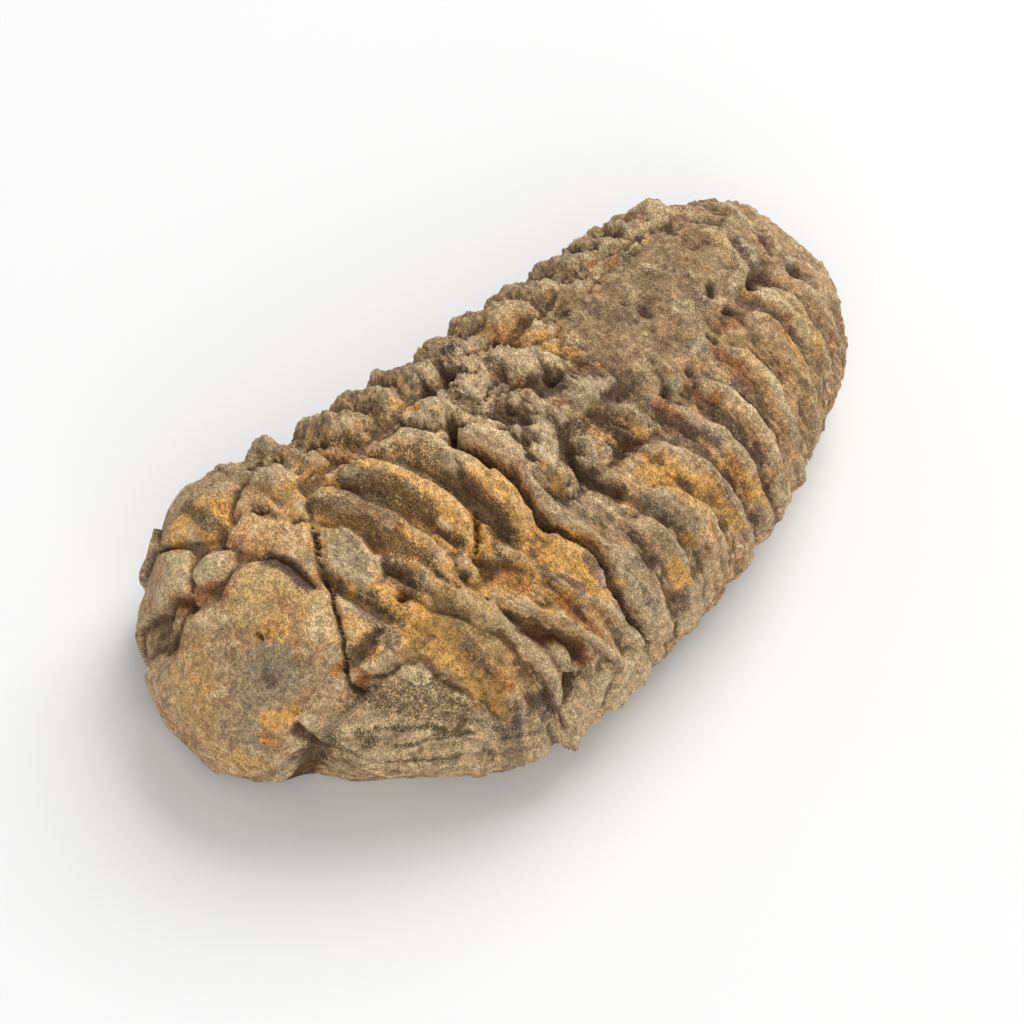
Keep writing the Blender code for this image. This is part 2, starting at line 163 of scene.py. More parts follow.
RING_FORMS = (
    ("rib", ((-26.8, -7.1), (-26.1, -7.6), (-24.7, -7.5), (-23.5, -6.5), (-22.7, -4.4), (-22.1, -1.7),
        (-21.1, 0.9), (-20.7, 4.0), (-20.3, 7.1), (-20.7, 0.3), (-20.4, 2.6), (-20.1, 5.0),
        (-20.1, 7.2), (-20.1, 9.2), (-19.9, 10.4)),
        ((-26.7, -7.5), (-27.9, -5.5), (-27.7, -3.8), (-26.7, -1.5), (-26.0, 1.3), (-26.0, 2.8),
        (-25.6, 4.7), (-24.5, 5.8), (-23.7, 7.6), (-22.9, 9.7), (-22.1, 10.9),
        (-20.4, 10.9)), 1.87, 2.6, 0.6),
    ("rib", ((-23.5, -7.3), (-22.4, -7.8), (-21.1, -7.8), (-19.8, -7.3), (-18.3, -6.7), (-17.3, -4.8),
        (-16.1, -2.5), (-15.1, -0.2), (-14.5, 2.2), (-14.5, 4.1), (-16.0, -2.5), (-15.2, 0.9),
        (-14.5, 2.8), (-14.6, 4.9), (-14.8, 6.7), (-15.3, 8.3), (-16.3, 9.7)),
        ((-23.1, -8.0), (-22.7, -6.8), (-21.5, -5.1), (-20.5, -2.5), (-19.9, 0.3), (-19.2, 3.3),
        (-18.5, 6.2), (-19.1, 1.8), (-18.7, 4.7), (-18.4, 7.2), (-18.1, 9.1), (-17.9, 10.7),
        (-17.3, 10.7)), 1.95, 2.2, 0.6),
    ("trench", ((-23.6, -7.5), (-22.7, -6.1), (-21.8, -4.2), (-21.0, -1.9), (-20.2, 0.9), (-19.5, 3.7),
        (-18.9, 6.6), (-19.5, 2.0), (-19.2, 4.7), (-18.8, 6.9), (-18.7, 9.0)), 0.5, 0.3),
    ("rib", ((-18.5, -7.3), (-17.8, -7.7), (-16.8, -7.8), (-15.1, -7.4), (-13.1, -7.2), (-11.7, -6.3),
        (-10.7, -4.2), (-10.1, -2.1), (-10.0, -0.9), (-10.9, 0.3)),
        ((-18.1, -7.9), (-17.5, -7.3), (-16.7, -5.7), (-15.5, -3.4), (-14.7, -0.7), (-14.2, 1.4),
        (-13.9, 3.4), (-13.7, 4.4), (-12.3, 3.0)), 1.7, 2.0, 0.8),
    ("rib", ((-11.2, 0.3), (-10.5, -0.2), (-9.7, 0.3), (-9.0, 3.0), (-8.5, 5.4), (-8.6, 7.7),
        (-8.9, 10.0), (-9.2, 11.7), (-10.0, 13.2)),
        ((-12.5, -0.2), (-13.1, 1.1), (-13.2, 3.0), (-12.8, 4.8), (-12.7, 7.0), (-12.8, 9.0),
        (-13.0, 10.7), (-13.1, 12.5), (-12.2, 13.5), (-10.5, 13.5)), 1.7, 2.0, 0.7),
    ("crack", ((-14.3, 7.3), (-15.5, 8.8), (-16.7, 10.1), (-17.8, 11.4), (-18.3, 12.5)), 1.3, 0.21),
    ("lobe", ((-15.4, 8.9), (-14.3, 9.4), (-14.3, 11.1), (-14.0, 12.9), (-13.5, 14.7), (-13.5, 15.8),
        (-14.4, 16.3), (-15.2, 14.9), (-16.4, 14.0), (-17.5, 12.9), (-17.4, 11.7),
        (-16.6, 10.2)), 1.02, 1.12),
    ("lobe", ((-19.8, 10.5), (-18.5, 11.2), (-18.4, 12.9), (-19.0, 14.2), (-20.1, 13.7),
        (-20.4, 12.3)), 0.85, 0.4),
    ("mound", (-20.1, 12.5), 0.55, 0.55, 0, -2.2),
    ("lobe", ((-23.1, 13.2), (-21.0, 13.6), (-20.3, 15.7), (-19.8, 17.4), (-19.7, 18.9), (-20.2, 19.9),
        (-21.1, 19.1), (-21.7, 18.1), (-22.7, 16.2), (-23.5, 14.6)), 1.02, 0.72),
    ("trench", ((-26.3, 5.7), (-25.7, 7.8), (-25.2, 10.3), (-24.7, 12.6), (-23.9, 14.2),
        (-23.0, 16.0)), 1.2, 0.7),
    ("ridge", ((-28.5, -4.1), (-27.9, -1.9), (-26.8, -0.3), (-26.6, 1.7), (-26.8, 3.7), (-25.4, 5.7),
        (-24.2, 7.1), (-23.9, 9.0), (-23.9, 10.7), (-23.4, 12.4), (-22.9, 13.0)), 0.9, 0.5, 1.4),
    ("ridge", ((-26.7, 9.2), (-25.8, 10.1), (-24.9, 12.8), (-23.5, 14.9), (-22.9, 16.4), (-22.1, 18.4),
        (-20.8, 20.0), (-20.3, 22.3), (-20.6, 23.4), (-19.6, 25.7), (-19.4, 27.4), (-19.5, 28.9),
        (-19.5, 30.6), (-19.4, 33.0), (-19.0, 35.5), (-18.7, 39.4)), 1.3, 0.45, 2.2),
    ("trench", ((-26.9, 9.5), (-26.0, 10.4), (-25.2, 13.1), (-23.8, 15.2), (-23.1, 16.7), (-22.3, 18.7),
        (-21.3, 20.3)), 0.5, 0.6),
    ("mound", (-27.1, 9.4), 0.7, 0.8, 0, -2.0),
    ("lobe", ((-20.1, 16.0), (-18.5, 17.7), (-16.9, 20.0), (-15.4, 22.6), (-13.7, 23.4), (-13.4, 25.2),
        (-13.8, 26.2), (-14.8, 25.0), (-16.3, 22.4), (-17.8, 20.5), (-19.3, 18.5)), 0.68, 0.4),
    ("trench", ((-19.5, 18.9), (-18.5, 20.7), (-17.4, 22.6), (-16.3, 24.3)), 1.3, 0.9),
    ("ridge", ((-14.5, 15.2), (-13.7, 17.2), (-12.6, 19.0), (-11.4, 21.6), (-10.0, 23.9), (-8.8, 26.5),
        (-7.9, 28.9), (-7.2, 31.2)), 0.7, 0.4, 1.8),
)
FLANK_FORMS = (
    ("ridge", ((-35.7, 14.0), (-34.5, 15.1), (-33.2, 15.8), (-32.0, 16.0), (-30.8, 16.3), (-30.1, 16.5),
        (-29.7, 17.3), (-29.7, 19.1), (-29.3, 20.7), (-28.7, 22.7), (-27.5, 24.6), (-26.7, 26.1),
        (-26.4, 28.0)), -0.7, 0.5, 1.0),
    ("lobe", ((-26.1, 24.8), (-23.6, 25.6), (-22.8, 27.3), (-22.5, 29.6), (-24.7, 30.4), (-26.0, 28.1),
        (-26.5, 26.6)), 0.6, 0.64),
    ("ridge", ((-17.8, 19.2), (-16.8, 21.1), (-15.4, 22.6), (-14.2, 23.3), (-13.6, 24.8), (-13.0, 26.6),
        (-11.8, 29.3), (-10.9, 31.1)), 1.1, 0.45, 1.6),
    ("lobe", ((-17.3, 24.4), (-16.2, 24.9), (-15.2, 27.5), (-14.5, 29.8), (-16.2, 29.7), (-16.9, 29.0),
        (-17.8, 26.3)), 0.9, 0.4),
    ("trench", ((-19.5, 21.5), (-18.3, 23.1), (-16.4, 24.8), (-15.3, 26.3)), 1.2, 0.6),
    ("mound", (-14.8, 27.7), 1.3, 2.0, 30, -1.6),
    ("trench", ((-17.1, 30.0), (-17.3, 31.6), (-18.6, 32.1), (-19.4, 32.2)), 1.6, 0.7),
    ("crack", ((-19.4, 32.2), (-19.2, 35.0), (-18.7, 39.4)), 1.6, 0.18),
    ("lobe", ((-18.1, 33.1), (-16.3, 30.7), (-14.4, 30.9), (-11.0, 31.3), (-7.4, 32.0), (-5.1, 36.3),
        (-6.8, 38.9), (-10.5, 39.6), (-14.1, 39.1), (-16.6, 39.7), (-18.5, 39.4)), 1.0, 0.96),
    ("trench", ((-11.3, 32.8), (-12.4, 34.4), (-13.3, 35.9), (-14.1, 37.8)), 0.7, 0.8),
    ("rib", ((-5.8, 19.0), (-4.3, 19.8), (-2.9, 20.6), (-2.4, 22.7), (-1.7, 24.7), (-1.3, 26.4),
        (-1.4, 28.7), (-1.5, 31.5), (-1.5, 34.4), (-0.7, 42.0)),
        ((-5.5, 19.9), (-6.4, 23.4), (-6.1, 26.1), (-5.7, 28.6), (-5.3, 30.4), (-4.7, 32.6),
        (-4.3, 33.8), (-1.5, 37.7), (-0.7, 42.0)), 0.8, 1.26, 0.5),
    ("rib", ((-3.1, 17.1), (-0.7, 18.9), (1.7, 19.9), (2.3, 21.0), (3.1, 22.6), (3.5, 23.7),
        (3.3, 25.4), (3.1, 27.1), (3.1, 29.3), (3.3, 32.0), (3.8, 34.1), (4.6, 42.0)),
        ((-3.1, 16.3), (-2.5, 17.5), (-1.9, 19.5), (-1.1, 21.9), (-0.3, 24.3), (0.3, 26.2), (0.1, 28.5),
        (-0.1, 32.8), (0.7, 42.0)), 1.04, 1.62, 0.5),
    ("rib", ((1.8, 16.6), (4.3, 17.8), (6.1, 18.8), (7.4, 19.9), (7.9, 21.3), (9.3, 23.5), (9.1, 25.3),
        (8.9, 27.8), (9.0, 30.3), (8.9, 33.0), (9.6, 36.7), (10.4, 42.0)),
        ((2.0, 16.7), (2.4, 19.1), (3.4, 21.4), (4.5, 23.4), (5.2, 25.7), (5.1, 27.8), (5.2, 30.2),
        (5.9, 34.8), (6.7, 42.0)), 1.2, 1.8, 0.4),
    ("rib", ((5.8, 12.6), (7.7, 13.1), (9.2, 14.3), (10.3, 15.9), (11.3, 17.6), (12.7, 19.7),
        (13.5, 22.1), (13.6, 25.1), (13.7, 28.2), (14.0, 31.9), (15.1, 36.5), (15.9, 42.0)),
        ((5.6, 13.5), (6.0, 14.8), (7.0, 16.2), (8.2, 18.4), (9.2, 20.8), (10.5, 23.4), (10.7, 26.5),
        (11.0, 29.5), (11.5, 33.4), (12.3, 42.0)), 1.12, 1.71, 0.5),
    ("rib", ((11.4, 10.7), (13.7, 11.1), (14.5, 12.6), (15.3, 14.7), (16.3, 16.7), (16.7, 18.0),
        (17.5, 19.9), (17.7, 22.8), (18.1, 26.1), (18.7, 30.4), (19.8, 35.3), (20.6, 42.0)),
        ((11.4, 11.3), (11.6, 13.8), (13.0, 16.1), (14.5, 18.1), (15.1, 20.6), (15.5, 23.5),
        (15.4, 26.3), (15.8, 30.2), (17.1, 36.1), (17.9, 42.0)), 1.28, 1.53, 0.6),
    ("rib", ((18.3, 10.3), (19.2, 11.1), (20.7, 13.7), (21.6, 16.0), (22.3, 18.7), (22.8, 21.4),
        (22.7, 24.3), (22.5, 27.7), (23.3, 42.0)),
        ((16.7, 12.6), (17.9, 14.4), (18.7, 17.0), (19.4, 19.2), (19.7, 21.7), (19.4, 24.9),
        (20.2, 42.0)), 1.2, 1.53, 0.6),
    ("rib", ((22.9, 9.2), (24.3, 9.5), (25.6, 10.4), (26.5, 12.6), (26.9, 14.7), (26.7, 17.3),
        (26.3, 20.2), (26.5, 22.6), (26.2, 25.4), (27.0, 42.0)),
        ((23.1, 9.7), (23.1, 11.3), (23.7, 12.9), (24.1, 15.2), (24.2, 17.9), (24.4, 20.5),
        (25.0, 24.9), (25.5, 28.7), (26.3, 42.0)), 1.2, 1.35, 0.5),
    ("rib", ((28.8, 7.6), (30.8, 7.7), (31.8, 9.2), (32.3, 11.5), (32.6, 14.0), (32.6, 16.0),
        (32.4, 18.3), (32.3, 21.9), (31.2, 24.3), (32.0, 42.0)),
        ((27.8, 9.2), (28.0, 10.9), (28.7, 12.4), (29.1, 14.8), (29.6, 17.8), (29.7, 21.8),
        (30.3, 25.4), (31.1, 42.0)), 0.96, 1.26, 0.4),
    ("rib", ((31.9, 5.3), (34.0, 5.8), (35.9, 6.8), (36.6, 8.4), (36.9, 10.6), (37.5, 12.9),
        (37.4, 15.2), (37.1, 17.3), (36.7, 20.1)),
        ((31.7, 6.1), (32.4, 7.9), (33.1, 9.3), (34.1, 12.0), (34.3, 14.2), (34.7, 16.8),
        (35.4, 20.6)), 1.04, 1.35, 0.5),
    ("rib", ((35.7, 4.5), (38.1, 4.6), (38.7, 6.4), (39.4, 8.3), (40.7, 10.1), (41.3, 11.9),
        (41.1, 14.2), (41.2, 16.1), (39.6, 18.2)),
        ((35.7, 5.3), (36.6, 6.5), (37.5, 7.8), (38.5, 10.2), (38.7, 12.3), (39.4, 14.6),
        (39.7, 17.7)), 0.96, 1.35, 0.5),
    ("mound", (-22.0, 39.0), 7.0, 4.0, 0, 1.0),
)
MIDDLE_FORMS = (
    ("lobe", ((-8.0, -3.3), (-7.0, -2.3), (-6.0, -0.1), (-5.0, 2.6), (-4.4, 4.4), (-4.8, 5.5),
        (-6.5, 6.2), (-7.4, 5.1), (-7.8, 3.0), (-8.5, 0.6), (-9.2, -1.2)), 1.18, 0.45),
    ("crack", ((-7.6, -4.4), (-8.7, -2.8), (-9.5, -1.4), (-9.1, -0.0), (-8.9, 1.6), (-8.3, 3.6),
        (-7.7, 5.5), (-7.9, 7.3), (-8.3, 9.3), (-8.3, 10.5), (-9.0, 12.2), (-8.8, 13.9), (-7.9, 15.2),
        (-7.1, 16.8), (-6.1, 18.4), (-6.1, 20.0), (-6.3, 21.7), (-7.0, 23.7), (-6.5, 25.8),
        (-6.3, 28.2), (-6.1, 30.3), (-5.5, 32.3), (-5.3, 34.4)), 3.0, 0.51),
    ("lobe", ((-6.6, 6.7), (-6.5, 8.1), (-6.5, 10.7), (-6.5, 12.8), (-6.8, 14.6), (-8.0, 14.1),
        (-8.1, 12.6), (-7.8, 9.9)), 1.36, 0.17),
    ("lobe", ((-4.5, 5.4), (-2.3, 6.1), (-0.7, 6.7), (-1.3, 8.5), (-2.0, 10.5), (-2.4, 12.1),
        (-3.8, 13.0), (-5.1, 11.7), (-5.3, 10.4), (-4.6, 8.9), (-4.5, 7.2)), 0.99, 0.28),
    ("lobe", ((0.3, 6.7), (1.7, 7.8), (2.4, 8.9), (1.8, 10.5), (1.3, 11.6), (0.1, 12.0), (-0.7, 10.8),
        (-0.8, 8.9)), 0.81, 0.35),
    ("trench", ((-0.7, 7.1), (-1.4, 9.2), (-1.3, 11.5), (-0.8, 13.5), (0.3, 15.7)), 1.2, 1.0),
    ("lobe", ((-3.9, 1.0), (-2.8, 1.7), (-2.5, 2.9), (-3.5, 3.9), (-4.5, 3.5), (-4.8, 2.3)), 0.62, 0.28),
    ("lobe", ((-6.1, -2.8), (-4.4, -1.8), (-3.8, -0.2), (-3.6, 1.0), (-4.3, 1.5), (-5.5, 0.3),
        (-6.0, -1.1), (-6.5, -2.1)), 0.62, 0.21),
    ("trench", ((-3.3, -0.7), (-1.7, -1.1), (-1.2, -0.0), (-1.2, 1.7)), 0.9, 0.8),
    ("lobe", ((-0.5, -2.4), (0.5, -3.0), (1.5, -2.0), (2.1, 0.1), (2.6, 2.1), (1.9, 2.9), (0.5, 1.7),
        (-0.5, 0.3), (-1.0, -1.3)), 0.68, 0.32),
    ("mound", (4.4, -0.7), 0.6, 0.9, 20, -2.6),
    ("mound", (5.4, -0.2), 0.6, 0.8, 0, -2.6),
    ("lobe", ((3.3, -0.7), (4.5, -0.2), (4.8, 1.1), (3.9, 1.7), (2.5, 1.3), (2.4, 0.0)), 0.5, 0.21),
    ("ridge", ((5.4, 1.0), (5.3, 3.1), (5.3, 5.7), (7.1, 7.7), (8.1, 9.0), (7.9, 10.6)), 1.1, 0.5, 1.6),
    ("lobe", ((1.5, -8.0), (3.3, -8.2), (4.3, -7.5), (4.7, -5.4), (5.0, -3.0), (4.8, -1.3), (3.5, -1.5),
        (2.5, -3.0), (2.3, -4.9), (1.7, -6.9)), 0.74, 0.28),
    ("lobe", ((4.7, -5.4), (6.7, -4.8), (7.3, -2.8), (7.9, -0.9), (8.2, 0.8), (7.1, 1.2), (6.0, -0.2),
        (5.3, -2.1), (5.0, -3.8)), 0.74, 0.35),
    ("lobe", ((6.3, 0.8), (8.3, 0.8), (10.3, 1.2), (10.1, 3.0), (9.6, 5.2), (8.9, 6.9), (7.5, 7.3),
        (6.3, 5.9), (5.7, 4.1), (5.9, 2.1)), 0.87, 0.49),
    ("lobe", ((-1.6, -9.5), (-0.1, -10.9), (0.8, -9.9), (1.0, -8.3), (-0.0, -6.3), (-1.9, -4.5),
        (-3.6, -4.2), (-3.8, -5.9), (-3.3, -7.8), (-4.1, -9.0), (-3.5, -10.0)), 0.68, 0.39),
    ("trench", ((-3.0, -11.7), (-4.0, -10.1), (-5.3, -8.9)), 1.2, 0.4),
    ("trench", ((-3.7, -10.1), (-2.1, -9.1), (-0.9, -7.7)), 0.8, 0.25),
    ("lobe", ((-5.5, -13.1), (-4.1, -13.0), (-3.8, -11.3), (-4.7, -9.7), (-5.9, -8.7), (-6.1, -10.3),
        (-5.9, -12.0)), 0.74, 0.32),
    ("lobe", ((-11.6, -8.8), (-9.8, -9.2), (-7.9, -8.3), (-6.5, -7.4), (-6.4, -6.4), (-8.0, -4.7),
        (-9.5, -4.0), (-11.0, -5.5), (-12.1, -7.2)), 0.99, 0.45),
    ("mound", (-11.2, -13.3), 0.9, 1.2, 0, -1.0),
    ("lobe", ((-17.7, -16.1), (-16.3, -16.3), (-14.9, -15.9), (-14.1, -14.6), (-13.4, -12.7),
        (-13.9, -10.4), (-15.9, -9.1), (-17.1, -9.7), (-17.8, -12.0), (-18.5, -13.8)), 0.37, 0.42),
    ("trench", ((-20.3, -16.4), (-19.9, -15.4), (-19.3, -14.8)), 1.0, 0.4),
    ("ridge", ((-16.5, -16.7), (-15.4, -15.1), (-14.8, -13.1), (-14.3, -10.6)), 0.5, 0.4, 1.0),
    ("lobe", ((-21.5, -15.6), (-21.1, -14.0), (-21.5, -11.0), (-21.9, -9.6), (-22.7, -10.1),
        (-23.1, -12.0)), 0.5, 0.28),
    ("trench", ((-20.8, -14.5), (-20.9, -11.9), (-20.3, -9.4), (-19.9, -7.9), (-18.6, -7.6)), 0.9, 0.35),
    ("lobe", ((-21.5, -9.0), (-20.4, -8.8), (-19.4, -7.7), (-20.6, -7.6), (-21.9, -8.1)), 0.43, 0.17),
    ("lobe", ((4.7, -13.1), (7.3, -15.7), (8.9, -15.6), (9.4, -14.9), (9.1, -12.2), (7.8, -9.6),
        (6.1, -8.3), (4.9, -9.3), (4.5, -11.3)), 0.43, 0.59),
    ("lobe", ((6.1, -8.5), (7.7, -9.2), (9.6, -8.8), (10.6, -7.5), (10.4, -5.5), (9.0, -5.3),
        (7.3, -6.9)), 0.93, 0.42),
    ("mound", (13.1, -7.6), 0.9, 0.9, 0, -1.2),
    ("ridge", ((9.5, -8.2), (12.1, -9.2), (14.0, -9.5), (16.5, -9.1), (17.8, -8.5)), 0.6, 0.5, 1.2),
    ("trench", ((24.9, -12.0), (26.7, -11.8)), 1.0, 0.35),
    ("mound", (34.8, -14.5), 1.6, 1.6, 0, 0.6),
)
TAIL_FORMS = (
    ("ridge", ((37.7, 3.7), (38.3, 2.3), (39.5, -0.6), (40.9, -4.1), (42.3, -7.9)), 0.9, 1.4, 1.0),
    ("ridge", ((40.9, 4.8), (40.9, 3.0), (41.8, 0.2), (43.4, -3.5), (45.5, -8.0)), 0.8, 1.2, 1.0),
    ("ridge", ((44.1, 4.2), (45.0, 1.1), (47.3, -3.1), (46.8, -5.3)), 0.4, 1.2, 0.8),
    ("lobe", ((40.8, -6.0), (40.2, -3.2), (39.2, -0.2), (37.9, 2.5), (36.3, 3.8), (35.1, 3.6),
        (34.8, 2.2), (36.0, -0.1), (37.1, -2.6), (38.4, -4.9)), 1.0, 1.2),
    ("mound", (40.7, 6.1), 1.0, 1.6, 60, -1.8),
    ("ridge", ((43.8, 5.9), (42.5, 5.1), (40.3, 4.7)), 0.5, 0.5, 0.6),
    ("mound", (43.4, -1.7), 0.35, 0.45, 0, -1.4),
    ("mound", (40.8, 3.1), 0.35, 0.45, 0, -1.4),
    ("mound", (33.5, 4.6), 0.55, 0.7, 30, -2.4),
    ("trench", ((29.3, 1.5), (28.9, 2.4), (28.0, 3.1)), 1.8, 0.35),
    ("mound", (28.1, 5.9), 0.55, 0.6, 0, -2.0),
    ("trench", ((23.6, 7.0), (23.9, 7.9)), 1.6, 0.35),
    ("mound", (28.8, 24.0), 1.2, 1.2, 0, 0.9),
    ("mound", (27.2, 23.8), 0.5, 0.6, 0, -1.2),
    ("ridge", ((32.6, 4.5), (34.3, 2.2), (35.2, -0.4), (35.7, -2.7), (35.3, -4.2)), 0.8, 0.9, 1.3),
    ("lobe", ((32.8, 2.1), (33.8, 2.8), (33.2, 4.2), (31.5, 5.5), (29.9, 5.4), (29.6, 4.3),
        (30.9, 2.7)), 0.7, 0.9),
    ("mound", (20.1, -0.2), 0.7, 1.2, 0, -1.0),
    ("mound", (19.2, -3.3), 0.35, 0.6, 0, -0.9),
    ("mound", (18.9, 2.1), 0.4, 0.5, 0, -0.6),
    ("mound", (13.7, 9.6), 0.45, 0.45, 0, -1.5),
    ("trench", ((15.3, 5.1), (15.1, 6.2), (14.6, 8.1), (13.8, 9.4)), 0.6, 0.5),
    ("lobe", ((14.9, 8.8), (16.4, 9.1), (16.0, 10.4), (14.9, 10.7), (14.3, 10.0)), 0.6, 0.6),
    ("lobe", ((20.3, 6.9), (22.0, 6.6), (23.2, 7.4), (22.1, 8.1), (20.3, 8.3), (19.7, 7.8)), 0.8, 0.6),
    ("mound", (18.5, 9.2), 0.4, 0.5, 0, -1.0),
    ("mound", (7.8, 10.9), 0.35, 0.35, 0, -1.6),
    ("mound", (8.5, 6.7), 0.3, 0.6, 40, -1.4),
    ("ridge", ((14.7, -9.6), (16.9, -9.0), (19.3, -9.5), (22.6, -10.0), (25.9, -9.5),
        (29.4, -9.5)), 0.9, 0.9, 0.8),
    ("trench", ((16.9, -11.9), (20.5, -11.9), (23.0, -11.0), (24.5, -10.1), (27.3, -10.3)), 0.9, 0.9),
    ("mound", (43.0, 19.0), 3.5, 4.5, 0, 0.8),
    ("mound", (45.8, 4.5), 2.2, 2.8, 0, -1.9),
    ("mound", (44.0, 11.0), 2.0, 2.5, 0, 0.7),
    ("mound", (35.5, -18.5), 4.0, 4.0, 0, -1.6),
    ("mound", (41.0, -12.0), 3.0, 4.0, 0, -0.6),
)

FORMS = AXIS_FORMS + HEAD_FORMS + RING_FORMS + FLANK_FORMS + MIDDLE_FORMS + TAIL_FORMS

# Height from which the highest plates are pressed together, and the height that is left over it
TOP_SOFTENED = 29.2
TOP_LEFT = 0.9

# Bite in the front margin, where even the belly's edge draws in: its x and y and its radius
NOTCH = (12.5, -43.5)
NOTCH_RADIUS = 4.0

# Height of the plain belly's edge, and over how much more height the forms come in
BELLY_EDGE = 0.3
BELLY_BLEND = 2.0

# Straying of every form's edge: strength and cell size of its broad and its fine part
BROAD_STRAY, BROAD_STRAY_CELL = 0.32, 4.0
FINE_STRAY, FINE_STRAY_CELL = 0.16, 1.3
CRACK_RAGGEDNESS, CRACK_CELL = 0.35, 2.0

# Ribs sink to this share of their height at the foot, over these heights from the floor
RIB_FOOT_SHARE = 0.35
RIB_FOOT, RIB_FULL = 5.0, 13.0

# Far flank: depth of its lowering and of the tuck at the foot all round, and height of the foot
FAR_LOWERING = 1.0
FOOT_TUCK = 0.5
FOOT_TOP = 9.0

# Cover of the whole stone. Each row: strength where the stone is sound, what breakage adds, cell size
BUMPS = (0.05, 0.15, 1.5)
LEDGES = (0.15, 0.25, 4.5)
LARGE_CHIPS = (0.25, 1.1, 5.5)
SMALL_CHIPS = (0.15, 0.5, 2.3)
WAVE, WAVE_CELL = 0.25, 5.0
LEAF, LEAF_CELL = 0.26, 1.3
FILLING_WAVE, FILLING_WAVE_CELL = 0.35, 3.5
FILLING_GRAIN, FILLING_GRAIN_CELL = 0.16, 0.9

# Stains: fullness at the route, fall per half width, raggedness and its cell size
STAIN_CORE = 1.25
STAIN_FALL = 0.62
STAIN_RAG, STAIN_RAG_CELL = 0.35, 2.4

# Flat faces broken off the lump: (y, v) of the middle and depth below the surface there
FACETS = (
    ((-32.5, 25.5), 1.0),
)

# Colour of each kind of stain, in screen values; a later kind lies over an earlier one
STAIN_COLOURS = {
    "grey": (158, 144, 120),
    "yellow": (214, 180, 122),
    "pale": (232, 206, 160),
    "ochre": (240, 182, 96),
    "rust": (176, 114, 62),
    "slate": (104, 86, 76),
    "plum": (84, 62, 54),
    # Soot: dark films, partly real and partly painted shade on the steep fronts of the plates and ribs
    "soot_and_shade": (84, 66, 44),
}

# Colour of each kind of broad wash. Olive is partly tone and partly painted shade on the back; cream is
# partly tone and partly painted light on the near flank and cheek.
WASH_COLOURS = {
    "golden": (236, 180, 104),
    "olive_and_shade": (126, 104, 76),
    "cream_and_light": (240, 212, 168),
}

# Washes: kind, route, half width, strength
WASHES = (
    ("golden", ((-24.5, -6.0), (-22.0, 0.0), (-20.0, 6.0), (-17.5, 9.5)), 5.5, 1.0),
    ("golden", ((-16.0, -5.0), (-13.5, 3.0), (-12.0, 10.0), (-10.5, 17.0)), 3.0, 0.8),
    ("golden", ((-30.0, 8.0), (-26.0, 15.0), (-23.0, 24.0)), 3.0, 0.45),
    ("golden", ((-17.0, 13.0), (-14.0, 18.0), (-11.0, 22.0)), 3.0, 0.7),
    ("golden", ((-37.0, -15.0), (-34.0, -13.0), (-33.0, -5.0)), 3.0, 0.4),
    ("golden", ((-38.0, -2.0), (-36.0, 3.0)), 3.5, 0.45),
    ("golden", ((-44.0, -6.0), (-48.0, 0.0), (-48.5, 8.0)), 2.5, 0.45),
    ("golden", ((5.0, 15.0), (10.0, 21.0), (18.0, 20.0), (26.0, 15.0), (35.0, 12.0)), 4.5, 0.4),
    ("golden", ((7.0, -13.0), (8.0, -6.0), (9.0, 0.0)), 2.5, 0.6),
    ("golden", ((-12.0, -12.0), (-20.0, -12.0)), 3.0, 0.35),
    ("olive_and_shade", ((13.0, 1.0), (22.0, -1.0), (32.0, -2.0)), 7.5, 0.7),
    ("olive_and_shade", ((-3.0, 16.0), (1.0, 24.0)), 3.0, 0.5),
    ("olive_and_shade", ((-42.0, 4.0),), 4.0, 0.4),
    ("olive_and_shade", ((38.0, -12.0), (40.0, 0.0), (40.0, 12.0)), 6.0, 0.45),
    ("olive_and_shade", ((-15.0, -17.0), (0.0, -17.0), (20.0, -17.0), (33.0, -15.0)), 4.5, 0.3),
    ("olive_and_shade", ((-36.0, -22.0), (-29.0, -21.0)), 4.0, 0.35),
    ("olive_and_shade", ((30.0, 8.0), (36.0, 14.0), (30.0, 22.0)), 4.5, 0.4),
    ("cream_and_light", ((-36.0, 18.0), (-31.0, 27.0), (-25.0, 35.0)), 5.0, 0.35),
    ("cream_and_light", ((-19.0, 36.0), (-8.0, 35.0), (2.0, 33.0)), 4.0, 0.6),
    ("cream_and_light", ((-8.0, -6.0), (-4.0, 4.0), (-4.0, 9.0)), 5.0, 0.35),
)
